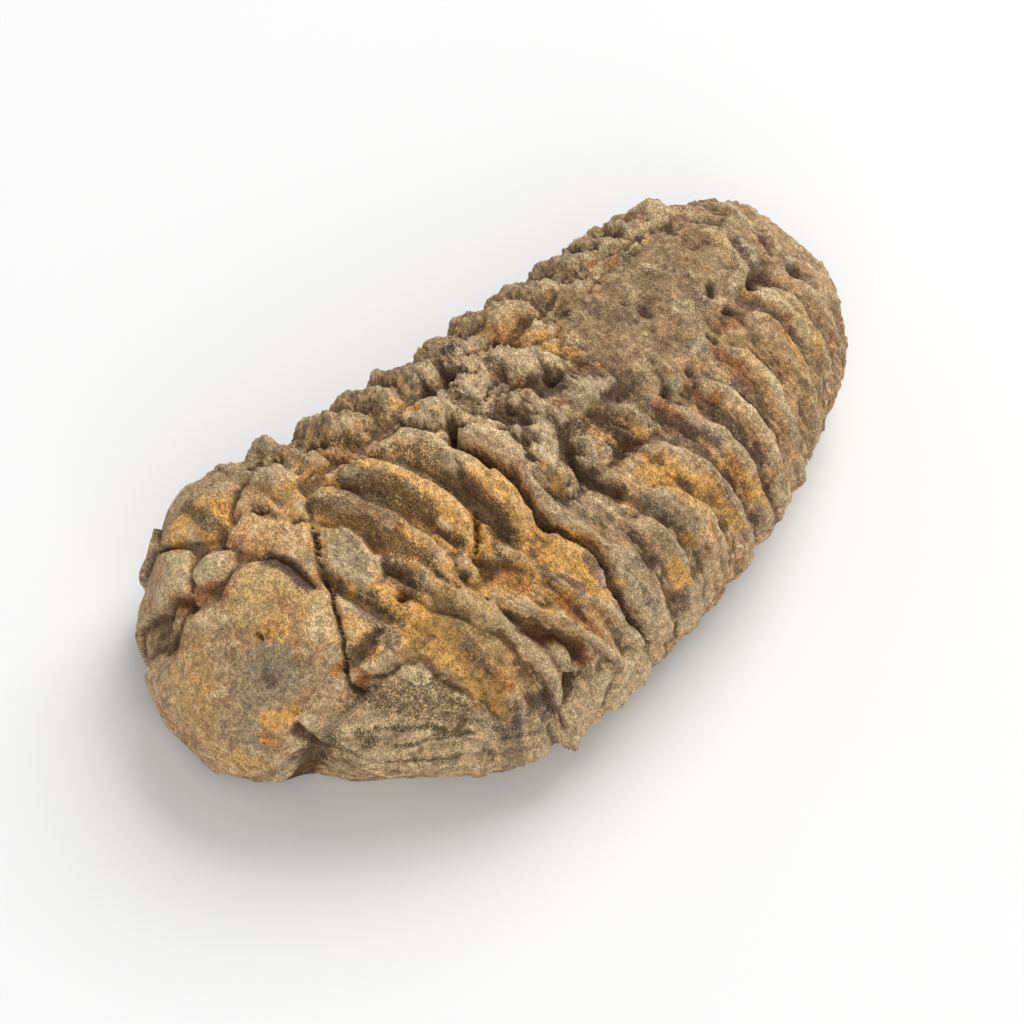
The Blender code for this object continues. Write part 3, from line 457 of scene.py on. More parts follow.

# Stains: kind, route, half width, strength. The soot rows are partly real films and partly painted shade on
# the steep fronts facing the head.
STAINS = (
    ("ochre", ((-34.9, -16.8), (-37.1, -17.1), (-38.4, -15.5)), 1.2, 0.9),
    ("ochre", ((-33.5, -15.3), (-34.3, -12.4), (-36.7, -11.8)), 0.9, 1.0),
    ("soot_and_shade", ((-35.0, -18.5), (-35.5, -14.4), (-35.2, -11.7), (-35.9, -10.8)), 0.75, 1.0),
    ("rust", ((-32.7, -14.5), (-31.6, -13.5), (-33.1, -12.1)), 1.2, 0.5),
    ("pale", ((-38.5, -14.3), (-40.0, -13.9), (-41.0, -11.6), (-42.0, -12.8)), 1.3, 0.75),
    ("rust", ((-44.1, -10.4), (-43.3, -9.2), (-45.2, -7.7), (-46.9, -7.8), (-47.5, -7.3)), 0.9, 0.9),
    ("ochre", ((-47.3, -7.2), (-47.9, -7.5)), 0.7, 0.9),
    ("slate", ((-46.7, -8.3),), 0.5, 0.7),
    ("rust", ((-42.3, -7.5), (-40.9, -6.8), (-40.1, -5.5)), 0.9, 0.9),
    ("rust", ((-36.8, -7.8), (-35.6, -6.4), (-34.3, -5.7)), 0.8, 0.5),
    ("yellow", ((-36.3, -3.9), (-36.1, -1.5), (-37.9, -0.7), (-38.4, -2.9)), 2.2, 0.75),
    ("yellow", ((-35.4, 0.4), (-34.8, 2.6), (-34.5, 3.8)), 1.6, 0.6),
    ("slate", ((-34.3, -4.0), (-33.7, -2.6), (-33.8, -1.1)), 0.6, 1.0),
    ("slate", ((-33.9, 0.7), (-33.7, 2.1)), 0.5, 0.9),
    ("rust", ((-32.8, -1.2), (-32.6, 0.8), (-32.9, 1.8)), 0.7, 0.8),
    ("rust", ((-36.9, 1.0), (-36.9, 2.4), (-36.3, 2.2)), 0.7, 0.4),
    ("soot_and_shade", ((-37.0, 1.7),), 0.7, 0.45),
    ("rust", ((-39.8, 2.8), (-38.8, 2.7), (-37.7, 3.6), (-36.2, 4.4)), 0.9, 0.4),
    ("pale", ((-36.0, 5.8), (-36.9, 7.2)), 0.5, 1.0),
    ("grey", ((-28.2, 0.3), (-28.3, 2.7), (-29.1, 5.7)), 1.2, 0.9),
    ("ochre", ((-31.1, 5.2), (-30.8, 7.7)), 0.6, 0.6),
    ("soot_and_shade", ((-30.6, 6.5), (-30.1, 8.3), (-29.7, 9.7)), 0.5, 0.55),
    ("ochre", ((-33.1, 8.5), (-32.9, 10.1), (-34.1, 10.6)), 1.0, 0.8),
    ("slate", ((-31.7, 6.8), (-31.9, 9.0)), 0.5, 0.8),
    ("soot_and_shade", ((-31.6, 11.5), (-33.2, 11.5), (-33.1, 12.2), (-35.0, 12.3)), 0.45, 0.8),
    ("grey", ((-41.3, 5.2), (-43.2, 4.6), (-43.3, 6.9), (-41.7, 8.4)), 1.8, 0.7),
    ("soot_and_shade", ((-43.1, 6.7), (-42.8, 5.6)), 0.9, 0.5),
    ("grey", ((-46.1, 5.9), (-47.7, 6.0), (-47.4, 7.7)), 2.2, 0.6),
    ("yellow", ((-48.3, -2.5), (-49.3, -1.5), (-49.7, 0.8)), 1.6, 0.5),
    ("yellow", ((-43.9, -2.3), (-44.8, -2.6)), 0.5, 0.6),
    ("ochre", ((-45.1, 9.0), (-44.1, 10.6), (-42.9, 10.8)), 0.7, 1.0),
    ("rust", ((-45.9, 10.2), (-45.4, 11.1), (-45.5, 12.3)), 0.7, 0.9),
    ("ochre", ((-46.1, 10.5),), 0.5, 0.9),
    ("pale", ((-47.7, 1.8), (-46.5, 3.1)), 0.4, 0.8),
    ("pale", ((-43.4, -5.5), (-43.5, -3.7)), 0.7, 0.5),
    ("rust", ((-37.8, 10.9), (-37.0, 11.3)), 0.6, 0.8),
    ("rust", ((-36.0, 13.3), (-36.4, 14.8)), 0.5, 1.0),
    ("soot_and_shade", ((-26.7, -6.0), (-25.7, -4.4), (-24.7, -3.1), (-24.8, -1.9)), 0.8, 1.0),
    ("ochre", ((-24.3, -5.5), (-23.8, -4.1), (-23.6, -2.7)), 0.7, 0.9),
    ("soot_and_shade", ((-25.7, -2.4), (-24.2, -0.3), (-23.7, 2.5), (-23.3, 5.0)), 0.7, 0.9),
    ("ochre", ((-26.1, -3.4), (-25.4, -1.2), (-25.3, 1.0), (-24.9, 3.0), (-24.1, 4.6)), 0.8, 1.0),
    ("rust", ((-23.7, -0.8), (-23.1, 0.9), (-22.4, 2.5)), 0.7, 0.9),
    ("rust", ((-25.6, 2.5), (-25.1, 4.2)), 0.7, 0.8),
    ("ochre", ((-23.3, -1.5), (-23.7, -0.8)), 0.5, 1.0),
    ("ochre", ((-22.6, 0.9), (-22.2, 3.3), (-21.9, 5.6), (-21.2, 7.6)), 1.3, 0.5),
    ("rust", ((-23.0, 1.7), (-22.8, 3.9)), 0.7, 0.8),
    ("soot_and_shade", ((-24.1, 2.5), (-23.5, 4.6), (-22.7, 7.4), (-22.5, 9.2)), 0.7, 0.8),
    ("ochre", ((-19.3, -5.7), (-18.2, -3.7), (-17.3, -1.1), (-17.2, 1.2)), 0.7, 1.0),
    ("ochre", ((-18.5, -4.0), (-18.1, -1.5), (-17.6, 0.9), (-17.1, 3.7)), 0.8, 1.0),
    ("ochre", ((-17.1, 4.4), (-16.4, 6.1), (-16.1, 7.6), (-16.3, 9.1), (-17.4, 10.3)), 1.1, 1.0),
    ("ochre", ((-23.2, -7.3), (-22.0, -7.3)), 0.5, 0.8),
    ("soot_and_shade", ((-21.4, -6.9), (-20.7, -5.1), (-19.6, -3.1), (-19.3, -1.1), (-18.8, 1.3)), 0.8, 1.0),
    ("soot_and_shade", ((-19.7, -2.5), (-19.0, 0.3), (-18.6, 3.0), (-18.2, 4.8)), 0.7, 0.9),
    ("soot_and_shade", ((-19.1, 6.3), (-18.6, 8.0), (-18.3, 9.3)), 0.5, 0.8),
    ("ochre", ((-20.7, -3.4), (-20.4, -2.0)), 0.4, 0.7),
    ("soot_and_shade", ((-16.8, -6.8), (-15.2, -6.0), (-15.0, -3.9), (-14.2, -1.6), (-13.4, 0.3)), 0.8, 0.6),
    ("soot_and_shade", ((-13.1, 1.4), (-13.1, 3.3), (-12.9, 5.5), (-12.8, 8.0), (-13.1, 9.7),
        (-13.4, 11.1)), 1.0, 1.0),
    ("ochre", ((-11.1, 9.7), (-10.8, 11.2), (-11.3, 12.7), (-10.0, 12.4)), 1.1, 1.0),
    ("ochre", ((-11.3, 4.8), (-11.0, 7.3)), 0.7, 0.6),
    ("yellow", ((-10.7, 3.0), (-10.2, 5.3), (-10.3, 7.7)), 1.2, 0.5),
    ("ochre", ((-12.6, 12.7), (-12.7, 13.6)), 0.7, 0.9),
    ("ochre", ((-12.3, 14.8), (-11.3, 16.6), (-10.0, 18.0), (-8.3, 17.8), (-7.6, 18.5)), 1.6, 1.0),
    ("ochre", ((-9.5, 19.3), (-8.5, 21.2)), 0.9, 0.9),
    ("slate", ((-13.1, 17.0), (-12.2, 18.8), (-11.1, 20.6), (-10.4, 21.9)), 0.5, 0.9),
    ("ochre", ((-11.7, 19.1), (-10.8, 20.8), (-9.7, 22.6), (-8.4, 24.1)), 0.5, 1.0),
    ("slate", ((-7.3, 19.6), (-7.7, 21.4), (-7.8, 22.8)), 0.7, 0.8),
    ("slate", ((-12.3, 14.8), (-12.4, 15.5)), 0.5, 0.9),
    ("ochre", ((-17.0, 11.2), (-16.9, 13.4), (-16.5, 15.2), (-15.2, 16.5)), 1.1, 1.0),
    ("rust", ((-17.1, 14.7), (-16.4, 16.1), (-15.9, 17.4)), 1.1, 0.8),
    ("slate", ((-15.1, 11.6), (-15.5, 12.9)), 0.4, 0.8),
    ("rust", ((-14.4, 13.3), (-14.4, 14.8)), 0.5, 0.7),
    ("soot_and_shade", ((-18.0, 13.2), (-18.2, 14.3)), 0.6, 0.9),
    ("ochre", ((-14.4, 16.2), (-13.9, 17.9)), 0.9, 0.7),
    ("rust", ((-12.9, 21.5), (-12.9, 22.9), (-13.0, 23.7)), 0.9, 1.0),
    ("ochre", ((-12.8, 21.2),), 0.6, 0.7),
    ("slate", ((-12.0, 23.7),), 0.5, 0.9),
    ("ochre", ((-16.1, 20.6), (-15.4, 21.6)), 0.6, 0.6),
    ("yellow", ((-22.6, 14.0), (-21.6, 15.5), (-21.0, 17.6)), 0.6, 0.7),
    ("ochre", ((-20.5, 14.2), (-19.7, 15.5)), 0.5, 0.8),
    ("rust", ((-18.5, 21.8), (-17.2, 23.4), (-16.4, 24.3)), 0.6, 0.9),
    ("soot_and_shade", ((-19.4, 19.4), (-19.1, 20.3)), 0.5, 0.9),
    ("soot_and_shade", ((-22.4, 10.4), (-22.6, 12.6)), 0.5, 0.5),
    ("ochre", ((-27.6, 7.7), (-28.0, 9.7), (-28.6, 10.7), (-26.3, 10.7)), 0.9, 1.0),
    ("ochre", ((-27.4, 12.0), (-27.4, 13.7), (-29.8, 13.8)), 1.4, 0.9),
    ("slate", ((-29.7, 10.8), (-29.3, 12.1)), 0.6, 0.6),
    ("pale", ((-19.5, 10.7), (-19.0, 13.2)), 0.8, 0.7),
    ("rust", ((-20.8, 12.2),), 0.4, 0.8),
    ("slate", ((-19.1, 10.0),), 0.5, 0.6),
    ("ochre", ((-30.5, 14.9), (-29.4, 16.2), (-27.4, 17.2)), 1.4, 0.7),
    ("ochre", ((-27.5, 17.8), (-26.9, 19.7), (-26.1, 19.9)), 1.0, 0.9),
    ("ochre", ((-26.7, 21.2), (-26.4, 23.0), (-26.3, 24.5), (-25.0, 24.6)), 1.6, 0.8),
    ("slate", ((-25.4, 19.0), (-25.1, 21.0)), 1.0, 0.5),
    ("rust", ((-24.2, 23.9), (-23.5, 25.8)), 0.6, 0.7),
    ("ochre", ((-25.7, 26.9), (-25.0, 28.4)), 0.8, 0.9),
    ("rust", ((-23.0, 28.3), (-22.0, 28.6)), 0.6, 0.9),
    ("slate", ((-23.6, 28.1), (-24.4, 29.8), (-24.1, 31.1)), 0.6, 1.0),
    ("slate", ((-22.3, 29.3), (-20.6, 29.9), (-20.7, 31.8)), 0.9, 1.0),
    ("soot_and_shade", ((-20.3, 29.2), (-20.3, 31.2)), 0.5, 0.7),
    ("rust", ((-36.3, 13.1), (-36.4, 14.4)), 0.6, 0.9),
    ("ochre", ((-34.3, 12.9), (-32.9, 12.7)), 0.4, 1.0),
    ("ochre", ((-38.1, 11.0), (-37.1, 11.1)), 0.5, 0.5),
    ("soot_and_shade", ((-37.5, 14.9), (-34.5, 17.8), (-31.4, 19.7), (-30.0, 21.6), (-30.4, 23.1),
        (-33.1, 20.4)), 1.6, 0.55),
    ("pale", ((-29.1, 22.7), (-27.7, 24.7)), 0.4, 1.0),
    ("pale", ((-31.9, 16.5), (-30.8, 16.8)), 0.5, 0.8),
    ("soot_and_shade", ((-41.3, 16.1), (-41.3, 18.0)), 0.6, 0.8),
    ("pale", ((-42.1, 15.2), (-42.1, 12.8)), 0.6, 0.8),
    ("ochre", ((-9.9, 16.2), (-8.7, 17.9), (-7.3, 18.5), (-7.4, 19.8)), 1.3, 0.9),
    ("slate", ((-7.5, 19.6), (-7.7, 21.8)), 0.7, 0.9),
    ("ochre", ((-13.1, 21.2), (-12.8, 22.5), (-13.0, 23.4)), 0.8, 1.0),
    ("slate", ((-12.1, 23.8),), 0.4, 1.0),
    ("rust", ((-12.1, 25.3), (-11.7, 27.2)), 0.6, 0.8),
    ("rust", ((-18.2, 22.4), (-17.2, 23.8)), 0.6, 1.0),
    ("rust", ((-16.3, 25.0), (-15.6, 26.2), (-14.0, 27.9), (-14.3, 29.0)), 0.6, 1.0),
    ("soot_and_shade", ((-15.7, 26.8), (-16.2, 29.0)), 0.5, 0.9),
    ("rust", ((-17.0, 30.3), (-18.0, 31.4)), 0.6, 0.9),
    ("ochre", ((-6.0, 23.9),), 0.5, 0.9),
    ("ochre", ((1.3, 26.7), (1.5, 28.7)), 0.9, 0.9),
    ("slate", ((0.7, 30.1), (0.0, 32.6)), 0.8, 0.8),
    ("slate", ((-1.7, 24.0),), 0.5, 0.8),
    ("ochre", ((-0.7, 33.4),), 0.6, 0.7),
    ("grey", ((-4.0, 22.4), (-3.2, 25.5), (-3.9, 28.6)), 1.4, 0.6),
    ("rust", ((-8.6, -0.5), (-7.7, 3.0), (-7.0, 5.3)), 0.8, 0.8),
    ("ochre", ((-4.9, 10.4), (-4.9, 11.2)), 0.6, 0.9),
    ("ochre", ((-4.7, 7.3), (-4.3, 8.2)), 0.4, 0.6),
    ("soot_and_shade", ((-5.2, 6.3), (-5.4, 8.1)), 0.7, 0.6),
    ("soot_and_shade", ((-0.7, 8.3), (-0.9, 10.5), (-1.4, 12.2), (-0.6, 14.0), (0.4, 15.8)), 0.9, 1.0),
    ("soot_and_shade", ((-4.0, 2.7),), 0.8, 0.9),
    ("soot_and_shade", ((-3.3, -0.2), (-1.5, -0.2), (-1.3, 1.1)), 0.7, 0.7),
    ("rust", ((1.9, -1.8), (2.0, -0.2)), 0.5, 1.0),
    ("rust", ((2.2, 2.2), (3.7, 3.8)), 0.4, 1.0),
    ("rust", ((1.8, -3.8), (2.0, -1.9)), 0.4, 0.7),
    ("ochre", ((7.5, -4.9), (8.7, -3.0), (10.1, -1.1)), 0.5, 0.8),
    ("ochre", ((7.9, 1.2), (9.7, 2.0), (8.9, 3.5)), 0.7, 0.8),
    ("yellow", ((2.6, 4.6), (3.4, 6.4), (4.4, 9.2)), 0.6, 0.7),
    ("rust", ((2.9, 7.0), (3.4, 8.5)), 0.5, 0.7),
    ("ochre", ((3.8, 9.3), (4.9, 11.2)), 0.7, 0.6),
    ("slate", ((2.4, 0.5), (3.7, 0.8)), 0.6, 0.7),
    ("slate", ((7.3, 2.4), (7.5, 5.5)), 1.1, 0.7),
    ("grey", ((0.4, 3.2), (1.2, 6.1)), 1.2, 0.7),
    ("soot_and_shade", ((1.1, -6.2), (1.5, -5.0), (1.7, -4.2)), 0.7, 0.6),
    ("grey", ((-0.5, -4.5), (-0.7, -2.7)), 0.9, 0.7),
    ("soot_and_shade", ((-5.3, -7.6), (-4.4, -5.9), (-4.3, -4.7)), 0.8, 0.8),
    ("soot_and_shade", ((-6.1, -12.4), (-6.5, -9.9), (-6.5, -8.3)), 0.6, 0.9),
    ("rust", ((-5.1, -15.1), (-5.2, -13.2)), 0.7, 0.8),
    ("slate", ((-2.3, -12.0), (-1.9, -10.0)), 0.8, 0.8),
    ("pale", ((2.5, -7.7), (3.6, -6.7)), 0.8, 0.7),
    ("pale", ((6.3, -2.3), (6.5, -0.7)), 0.9, 0.7),
    ("pale", ((-0.8, -9.3), (-0.2, -7.3)), 0.8, 0.4),
    ("soot_and_shade", ((0.9, -15.4), (0.6, -12.9)), 0.8, 0.8),
    ("ochre", ((-10.6, -8.3), (-9.7, -7.9)), 0.5, 0.9),
    ("ochre", ((-9.1, -5.8), (-8.8, -5.2)), 0.4, 0.8),
    ("soot_and_shade", ((-10.8, -6.9), (-9.2, -4.8)), 0.6, 0.7),
    ("soot_and_shade", ((-12.0, -14.2), (-11.6, -11.7)), 0.7, 0.8),
    ("ochre", ((-10.8, -11.4), (-9.7, -10.3)), 0.6, 0.7),
    ("ochre", ((-14.7, -15.1), (-13.9, -12.4)), 0.5, 1.0),
    ("ochre", ((-18.3, -14.2), (-18.1, -12.4)), 0.4, 0.7),
    ("soot_and_shade", ((-19.4, -13.5), (-18.1, -11.4), (-16.8, -10.4)), 0.7, 0.7),
    ("ochre", ((-22.6, -10.1),), 0.5, 0.6),
    ("rust", ((-23.8, -17.9),), 0.5, 0.8),
    ("ochre", ((-20.5, -15.8),), 0.3, 0.8),
    ("rust", ((5.0, -13.2), (5.4, -10.0), (5.9, -8.7)), 0.8, 0.7),
    ("ochre", ((3.8, -13.4), (5.3, -12.6), (6.4, -10.6)), 0.8, 0.6),
    ("ochre", ((7.1, -7.8), (8.8, -6.2)), 0.6, 0.7),
    ("rust", ((9.2, -13.1), (10.2, -11.1)), 0.5, 0.7),
    ("ochre", ((7.6, -4.4), (8.1, -3.2)), 0.5, 0.9),
    ("rust", ((9.1, -2.6), (10.0, -1.3)), 0.5, 0.7),
    ("soot_and_shade", ((12.7, -7.2),), 0.7, 0.8),
    ("soot_and_shade", ((0.2, -15.1), (0.5, -12.6), (-1.1, -14.7)), 0.8, 0.7),
    ("rust", ((20.7, -10.8), (21.9, -10.6), (22.9, -9.8)), 0.6, 0.6),
    ("rust", ((13.8, -10.9), (14.5, -9.8)), 0.5, 0.6),
    ("ochre", ((29.1, -9.4),), 0.4, 0.6),
    ("grey", ((5.6, -4.5), (6.2, -2.9)), 0.8, 0.6),
    ("pale", ((3.2, -7.6), (3.9, -5.5)), 0.7, 0.6),
    ("pale", ((16.8, -8.8), (20.3, -8.9), (25.1, -9.1), (29.8, -9.8)), 0.35, 0.6),
    ("ochre", ((7.1, 11.2), (7.9, 12.1)), 0.5, 1.0),
    ("ochre", ((4.8, 16.3), (5.7, 17.8), (7.0, 19.0), (8.0, 19.8)), 0.7, 1.0),
    ("ochre", ((6.9, 17.0), (8.0, 17.8)), 0.6, 0.9),
    ("rust", ((6.7, 17.5), (7.1, 18.2)), 0.35, 0.9),
    ("ochre", ((8.7, 21.1), (10.1, 22.3)), 0.6, 0.9),
    ("soot_and_shade", ((7.7, 18.8), (8.3, 20.5)), 0.4, 0.9),
    ("ochre", ((10.9, 23.4), (10.7, 25.8), (12.1, 27.9)), 0.9, 0.6),
    ("rust", ((6.2, 13.4), (7.1, 14.5)), 0.5, 0.7),
    ("slate", ((6.1, 15.1), (7.2, 15.7)), 0.5, 0.6),
    ("ochre", ((10.1, 12.3), (10.8, 13.8), (11.9, 15.4)), 0.4, 0.8),
    ("slate", ((11.1, 12.0), (12.1, 13.9), (13.6, 15.9), (14.5, 17.4)), 0.6, 0.9),
    ("rust", ((11.7, 10.9), (13.2, 11.9), (13.1, 12.9)), 0.6, 0.8),
    ("pale", ((13.4, 12.5), (14.5, 14.9), (15.6, 16.8)), 0.6, 0.5),
    ("ochre", ((15.7, 13.7), (16.3, 14.8)), 0.6, 0.6),
    ("ochre", ((14.5, 21.1), (15.4, 22.9), (16.7, 25.5), (17.5, 27.0)), 0.9, 0.8),
    ("slate", ((13.7, 21.5), (14.1, 23.7)), 0.5, 0.8),
    ("slate", ((-2.3, 23.6), (-1.1, 24.8)), 0.6, 0.9),
    ("soot_and_shade", ((1.5, 17.4), (2.5, 19.9), (3.8, 22.4)), 0.7, 0.6),
    ("grey", ((3.3, 19.0), (4.5, 21.5), (5.6, 23.9)), 1.3, 0.7),
    ("soot_and_shade", ((3.4, 10.9), (4.8, 12.5), (5.1, 11.1)), 0.9, 0.7),
    ("yellow", ((3.6, 10.4),), 0.5, 0.7),
    ("soot_and_shade", ((-1.3, 12.8), (0.0, 14.5), (0.6, 15.9)), 0.7, 0.9),
    ("rust", ((-0.1, 16.1), (1.0, 17.5)), 0.7, 0.6),
    ("ochre", ((4.6, 24.6), (5.0, 25.7)), 0.5, 0.8),
    ("slate", ((4.8, 27.4),), 0.6, 0.7),
    ("pale", ((-2.5, 14.2), (-2.0, 16.0), (-1.6, 17.7)), 0.6, 0.7),
    ("pale", ((9.1, 22.9),), 0.4, 0.9),
    ("rust", ((17.5, 12.3), (18.3, 13.3)), 0.7, 0.8),
    ("rust", ((16.9, 11.8), (18.2, 12.8)), 0.7, 0.7),
    ("soot_and_shade", ((17.1, 14.5), (17.8, 16.9), (18.7, 19.6)), 0.7, 0.8),
    ("pale", ((19.9, 13.1), (21.0, 16.0), (21.6, 18.9)), 0.5, 0.5),
    ("slate", ((19.5, 21.6), (19.4, 23.3)), 0.8, 0.9),
    ("ochre", ((22.5, 24.1), (22.4, 26.6)), 0.6, 0.9),
    ("rust", ((22.6, 10.5), (23.1, 11.5)), 0.6, 1.0),
    ("ochre", ((24.9, 10.9), (25.5, 12.6)), 0.6, 0.6),
    ("slate", ((23.1, 14.4), (23.5, 16.6)), 0.6, 0.7),
    ("rust", ((22.5, 14.9),), 0.5, 0.7),
    ("yellow", ((35.1, 11.2), (35.3, 13.1), (35.5, 14.5)), 0.7, 1.0),
    ("ochre", ((36.0, 15.3),), 0.5, 0.7),
    ("rust", ((33.7, 10.6), (33.3, 12.1)), 0.5, 0.7),
    ("slate", ((33.5, 13.7), (32.7, 16.9)), 0.6, 0.8),
    ("rust", ((23.1, 7.9),), 0.35, 1.0),
    ("slate", ((27.7, 6.1),), 0.5, 0.9),
    ("rust", ((26.0, 6.7), (28.1, 7.7)), 0.8, 0.7),
    ("ochre", ((31.8, 5.6),), 0.5, 0.7),
    ("yellow", ((35.1, -3.3), (35.1, -1.6), (34.1, -0.2)), 0.5, 0.8),
    ("ochre", ((15.7, 13.0), (16.1, 13.8)), 0.5, 0.8),
    ("grey", ((20.1, 7.1), (22.5, 7.3)), 0.8, 0.8),
    ("rust", ((23.1, 8.1),), 0.35, 0.9),
    ("ochre", ((20.2, 9.3),), 0.5, 0.8),
    ("ochre", ((7.3, 2.1), (9.4, 2.4), (9.5, 3.8)), 0.6, 0.8),
    ("slate", ((6.2, 2.1), (7.7, 2.8), (7.4, 4.8)), 1.2, 0.7),
    ("soot_and_shade", ((11.1, 5.4), (10.2, 8.5), (10.1, 10.9)), 1.3, 0.7),
    ("soot_and_shade", ((10.7, 3.6), (10.2, 5.6)), 0.8, 0.7),
    ("slate", ((8.6, 10.2), (8.8, 11.4)), 0.5, 0.8),
    ("rust", ((20.5, -11.1), (21.8, -10.2), (23.7, -9.3)), 0.6, 0.8),
    ("grey", ((15.3, 9.5),), 0.7, 0.9),
    ("soot_and_shade", ((-2.3, -12.4), (-2.4, -10.5), (-2.3, -8.9)), 0.9, 0.9),
    ("soot_and_shade", ((-6.2, -12.6), (-6.3, -10.3), (-6.2, -8.3)), 1.0, 0.7),
    ("soot_and_shade", ((-4.8, -8.1), (-4.7, -6.1), (-5.0, -4.2)), 1.2, 0.8),
    ("soot_and_shade", ((1.1, -7.7), (1.3, -5.9), (1.4, -4.5)), 0.9, 0.75),
    ("plum", ((3.3, -1.0), (3.7, 0.3), (4.2, 1.5)), 1.3, 1.0),
    ("plum", ((-2.4, -1.5), (-3.0, 0.3), (-3.5, 2.9)), 1.4, 1.0),
    ("grey", ((-1.1, -5.0), (-1.2, -3.3), (-0.7, -2.1)), 0.8, 0.8),
    ("plum", ((1.4, 3.6), (1.8, 5.3), (2.2, 7.3)), 1.0, 0.7),
    ("plum", ((9.2, 0.9), (9.4, 3.0), (9.4, 5.3)), 1.3, 0.8),
    ("soot_and_shade", ((-0.3, 8.5), (-0.4, 10.0), (-0.8, 11.7)), 1.0, 0.9),
    ("pale", ((-0.5, -10.2), (-0.5, -8.4), (-1.0, -7.6)), 0.7, 0.8),
    ("pale", ((-3.0, -9.1), (-2.5, -7.3), (-2.8, -4.9), (-3.5, -2.8)), 1.2, 0.55),
    ("pale", ((2.4, -8.1), (2.8, -6.2), (2.8, -3.5), (2.6, -1.2)), 1.3, 0.75),
    ("pale", ((-6.0, -2.7), (-5.5, -0.9), (-4.9, 1.2)), 1.1, 0.8),
    ("pale", ((-0.1, -2.1), (0.5, -0.1), (1.1, 2.5)), 1.2, 0.65),
    ("grey", ((5.3, -5.4), (5.9, -3.3), (6.2, -1.1)), 1.1, 0.8),
    ("rust", ((1.8, -2.1), (1.8, -0.7), (2.0, 0.1)), 0.6, 0.9),
    ("plum", ((-12.4, -8.4), (-12.1, -6.1), (-12.1, -4.4)), 0.9, 0.6),
    ("plum", ((5.5, 8.8), (5.9, 10.6), (6.3, 12.5)), 1.0, 0.7),
    ("plum", ((6.8, 5.5), (7.4, 7.3)), 0.9, 0.6),
    ("pale", ((24.8, -13.0), (30.0, -12.1), (35.5, -11.3)), 0.9, 0.75),
    ("pale", ((37.0, -9.3), (37.3, -6.9), (36.5, -3.4), (35.2, -0.5)), 0.7, 0.6),
    ("slate", ((36.9, -0.5), (35.9, 2.1), (35.5, 4.5)), 0.9, 0.8),
    ("slate", ((40.5, 5.1), (41.2, 6.5), (41.1, 8.5)), 0.9, 0.8),
    ("soot_and_shade", ((33.6, 3.6), (33.1, 5.4)), 0.7, 0.9),
    ("pale", ((33.3, 5.6), (34.3, 7.9), (34.6, 10.8), (34.3, 13.3)), 0.8, 0.6),
    ("slate", ((30.9, 6.7), (32.0, 9.1), (32.3, 12.1)), 0.7, 0.7),
    ("ochre", ((32.0, 10.6), (32.1, 13.4), (32.6, 15.4)), 0.7, 0.7),
    ("rust", ((23.0, 10.1), (23.3, 12.6), (23.2, 14.2)), 1.0, 0.8),
    ("pale", ((24.6, 10.0), (25.9, 13.1), (25.9, 16.9), (25.3, 20.5)), 0.7, 0.6),
    ("slate", ((22.0, 13.6), (22.5, 16.5), (22.6, 19.9)), 0.8, 0.8),
    ("rust", ((17.3, 11.4), (18.0, 13.3)), 0.9, 0.8),
    ("pale", ((19.6, 11.0), (21.0, 14.7), (21.2, 19.2), (21.2, 23.2)), 0.8, 0.6),
    ("slate", ((16.5, 13.3), (17.5, 16.6), (17.9, 20.7), (18.3, 23.6)), 0.8, 0.8),
    ("rust", ((12.2, 10.5), (12.6, 12.8), (13.3, 14.7)), 1.0, 0.8),
    ("pale", ((13.6, 11.7), (14.9, 14.8), (15.3, 19.3), (15.3, 23.3)), 0.9, 0.6),
    ("rust", ((15.2, 20.6), (14.8, 23.0), (15.0, 24.8)), 1.0, 0.6),
    ("slate", ((10.8, 13.3), (12.1, 16.9), (12.3, 20.9), (12.7, 24.5)), 0.8, 0.8),
    ("rust", ((6.6, 12.3), (7.0, 14.4)), 1.0, 0.8),
    ("pale", ((8.4, 12.1), (9.2, 15.0), (9.3, 18.3)), 0.9, 0.6),
    ("ochre", ((5.8, 15.7), (6.9, 17.7), (8.1, 19.8), (9.4, 21.6)), 1.6, 0.9),
    ("ochre", ((11.3, 21.1), (10.9, 23.5), (11.1, 25.6)), 1.2, 0.7),
    ("plum", ((-34.7, -4.2), (-34.0, -2.5), (-33.7, -0.8), (-33.9, 0.7), (-34.1, 2.1)), 0.8, 0.9),
    ("rust", ((-36.9, 0.2), (-36.9, 1.6)), 1.3, 0.5),
    ("pale", ((-35.5, 5.7), (-35.9, 6.6)), 1.2, 0.6),
    ("soot_and_shade", ((-35.4, 11.4), (-34.3, 11.8), (-33.1, 11.9)), 0.9, 0.9),
    ("slate", ((-29.9, 8.1), (-30.9, 11.0), (-31.7, 12.9)), 1.0, 0.7),
    ("soot_and_shade", ((-25.7, 5.8), (-25.9, 8.1), (-25.4, 10.0)), 1.1, 0.8),
    ("pale", ((-22.2, -8.2), (-21.3, -5.8), (-20.8, -2.7), (-20.3, 0.7)), 0.6, 0.7),
    ("pale", ((-17.7, -6.2), (-16.4, -4.3), (-15.5, -1.9), (-15.0, 0.9)), 0.6, 0.7),
    ("pale", ((-25.2, -6.7), (-24.3, -4.1), (-23.6, -1.1)), 0.6, 0.7),
    ("soot_and_shade", ((-23.1, -4.4), (-22.6, -2.2), (-22.3, 0.3), (-22.1, 2.9)), 0.9, 0.9),
    ("soot_and_shade", ((-19.4, -3.7), (-18.8, -1.5), (-18.3, 0.9), (-18.1, 3.7)), 0.9, 0.8),
    ("soot_and_shade", ((-26.1, -3.5), (-25.6, -0.8), (-25.6, 2.3)), 0.8, 0.8),
    ("ochre", ((-19.8, -7.2), (-19.0, -5.4), (-18.3, -3.4)), 1.0, 0.8),
    ("ochre", ((-19.5, -0.3), (-19.0, 2.2), (-18.9, 5.0)), 0.8, 0.8),
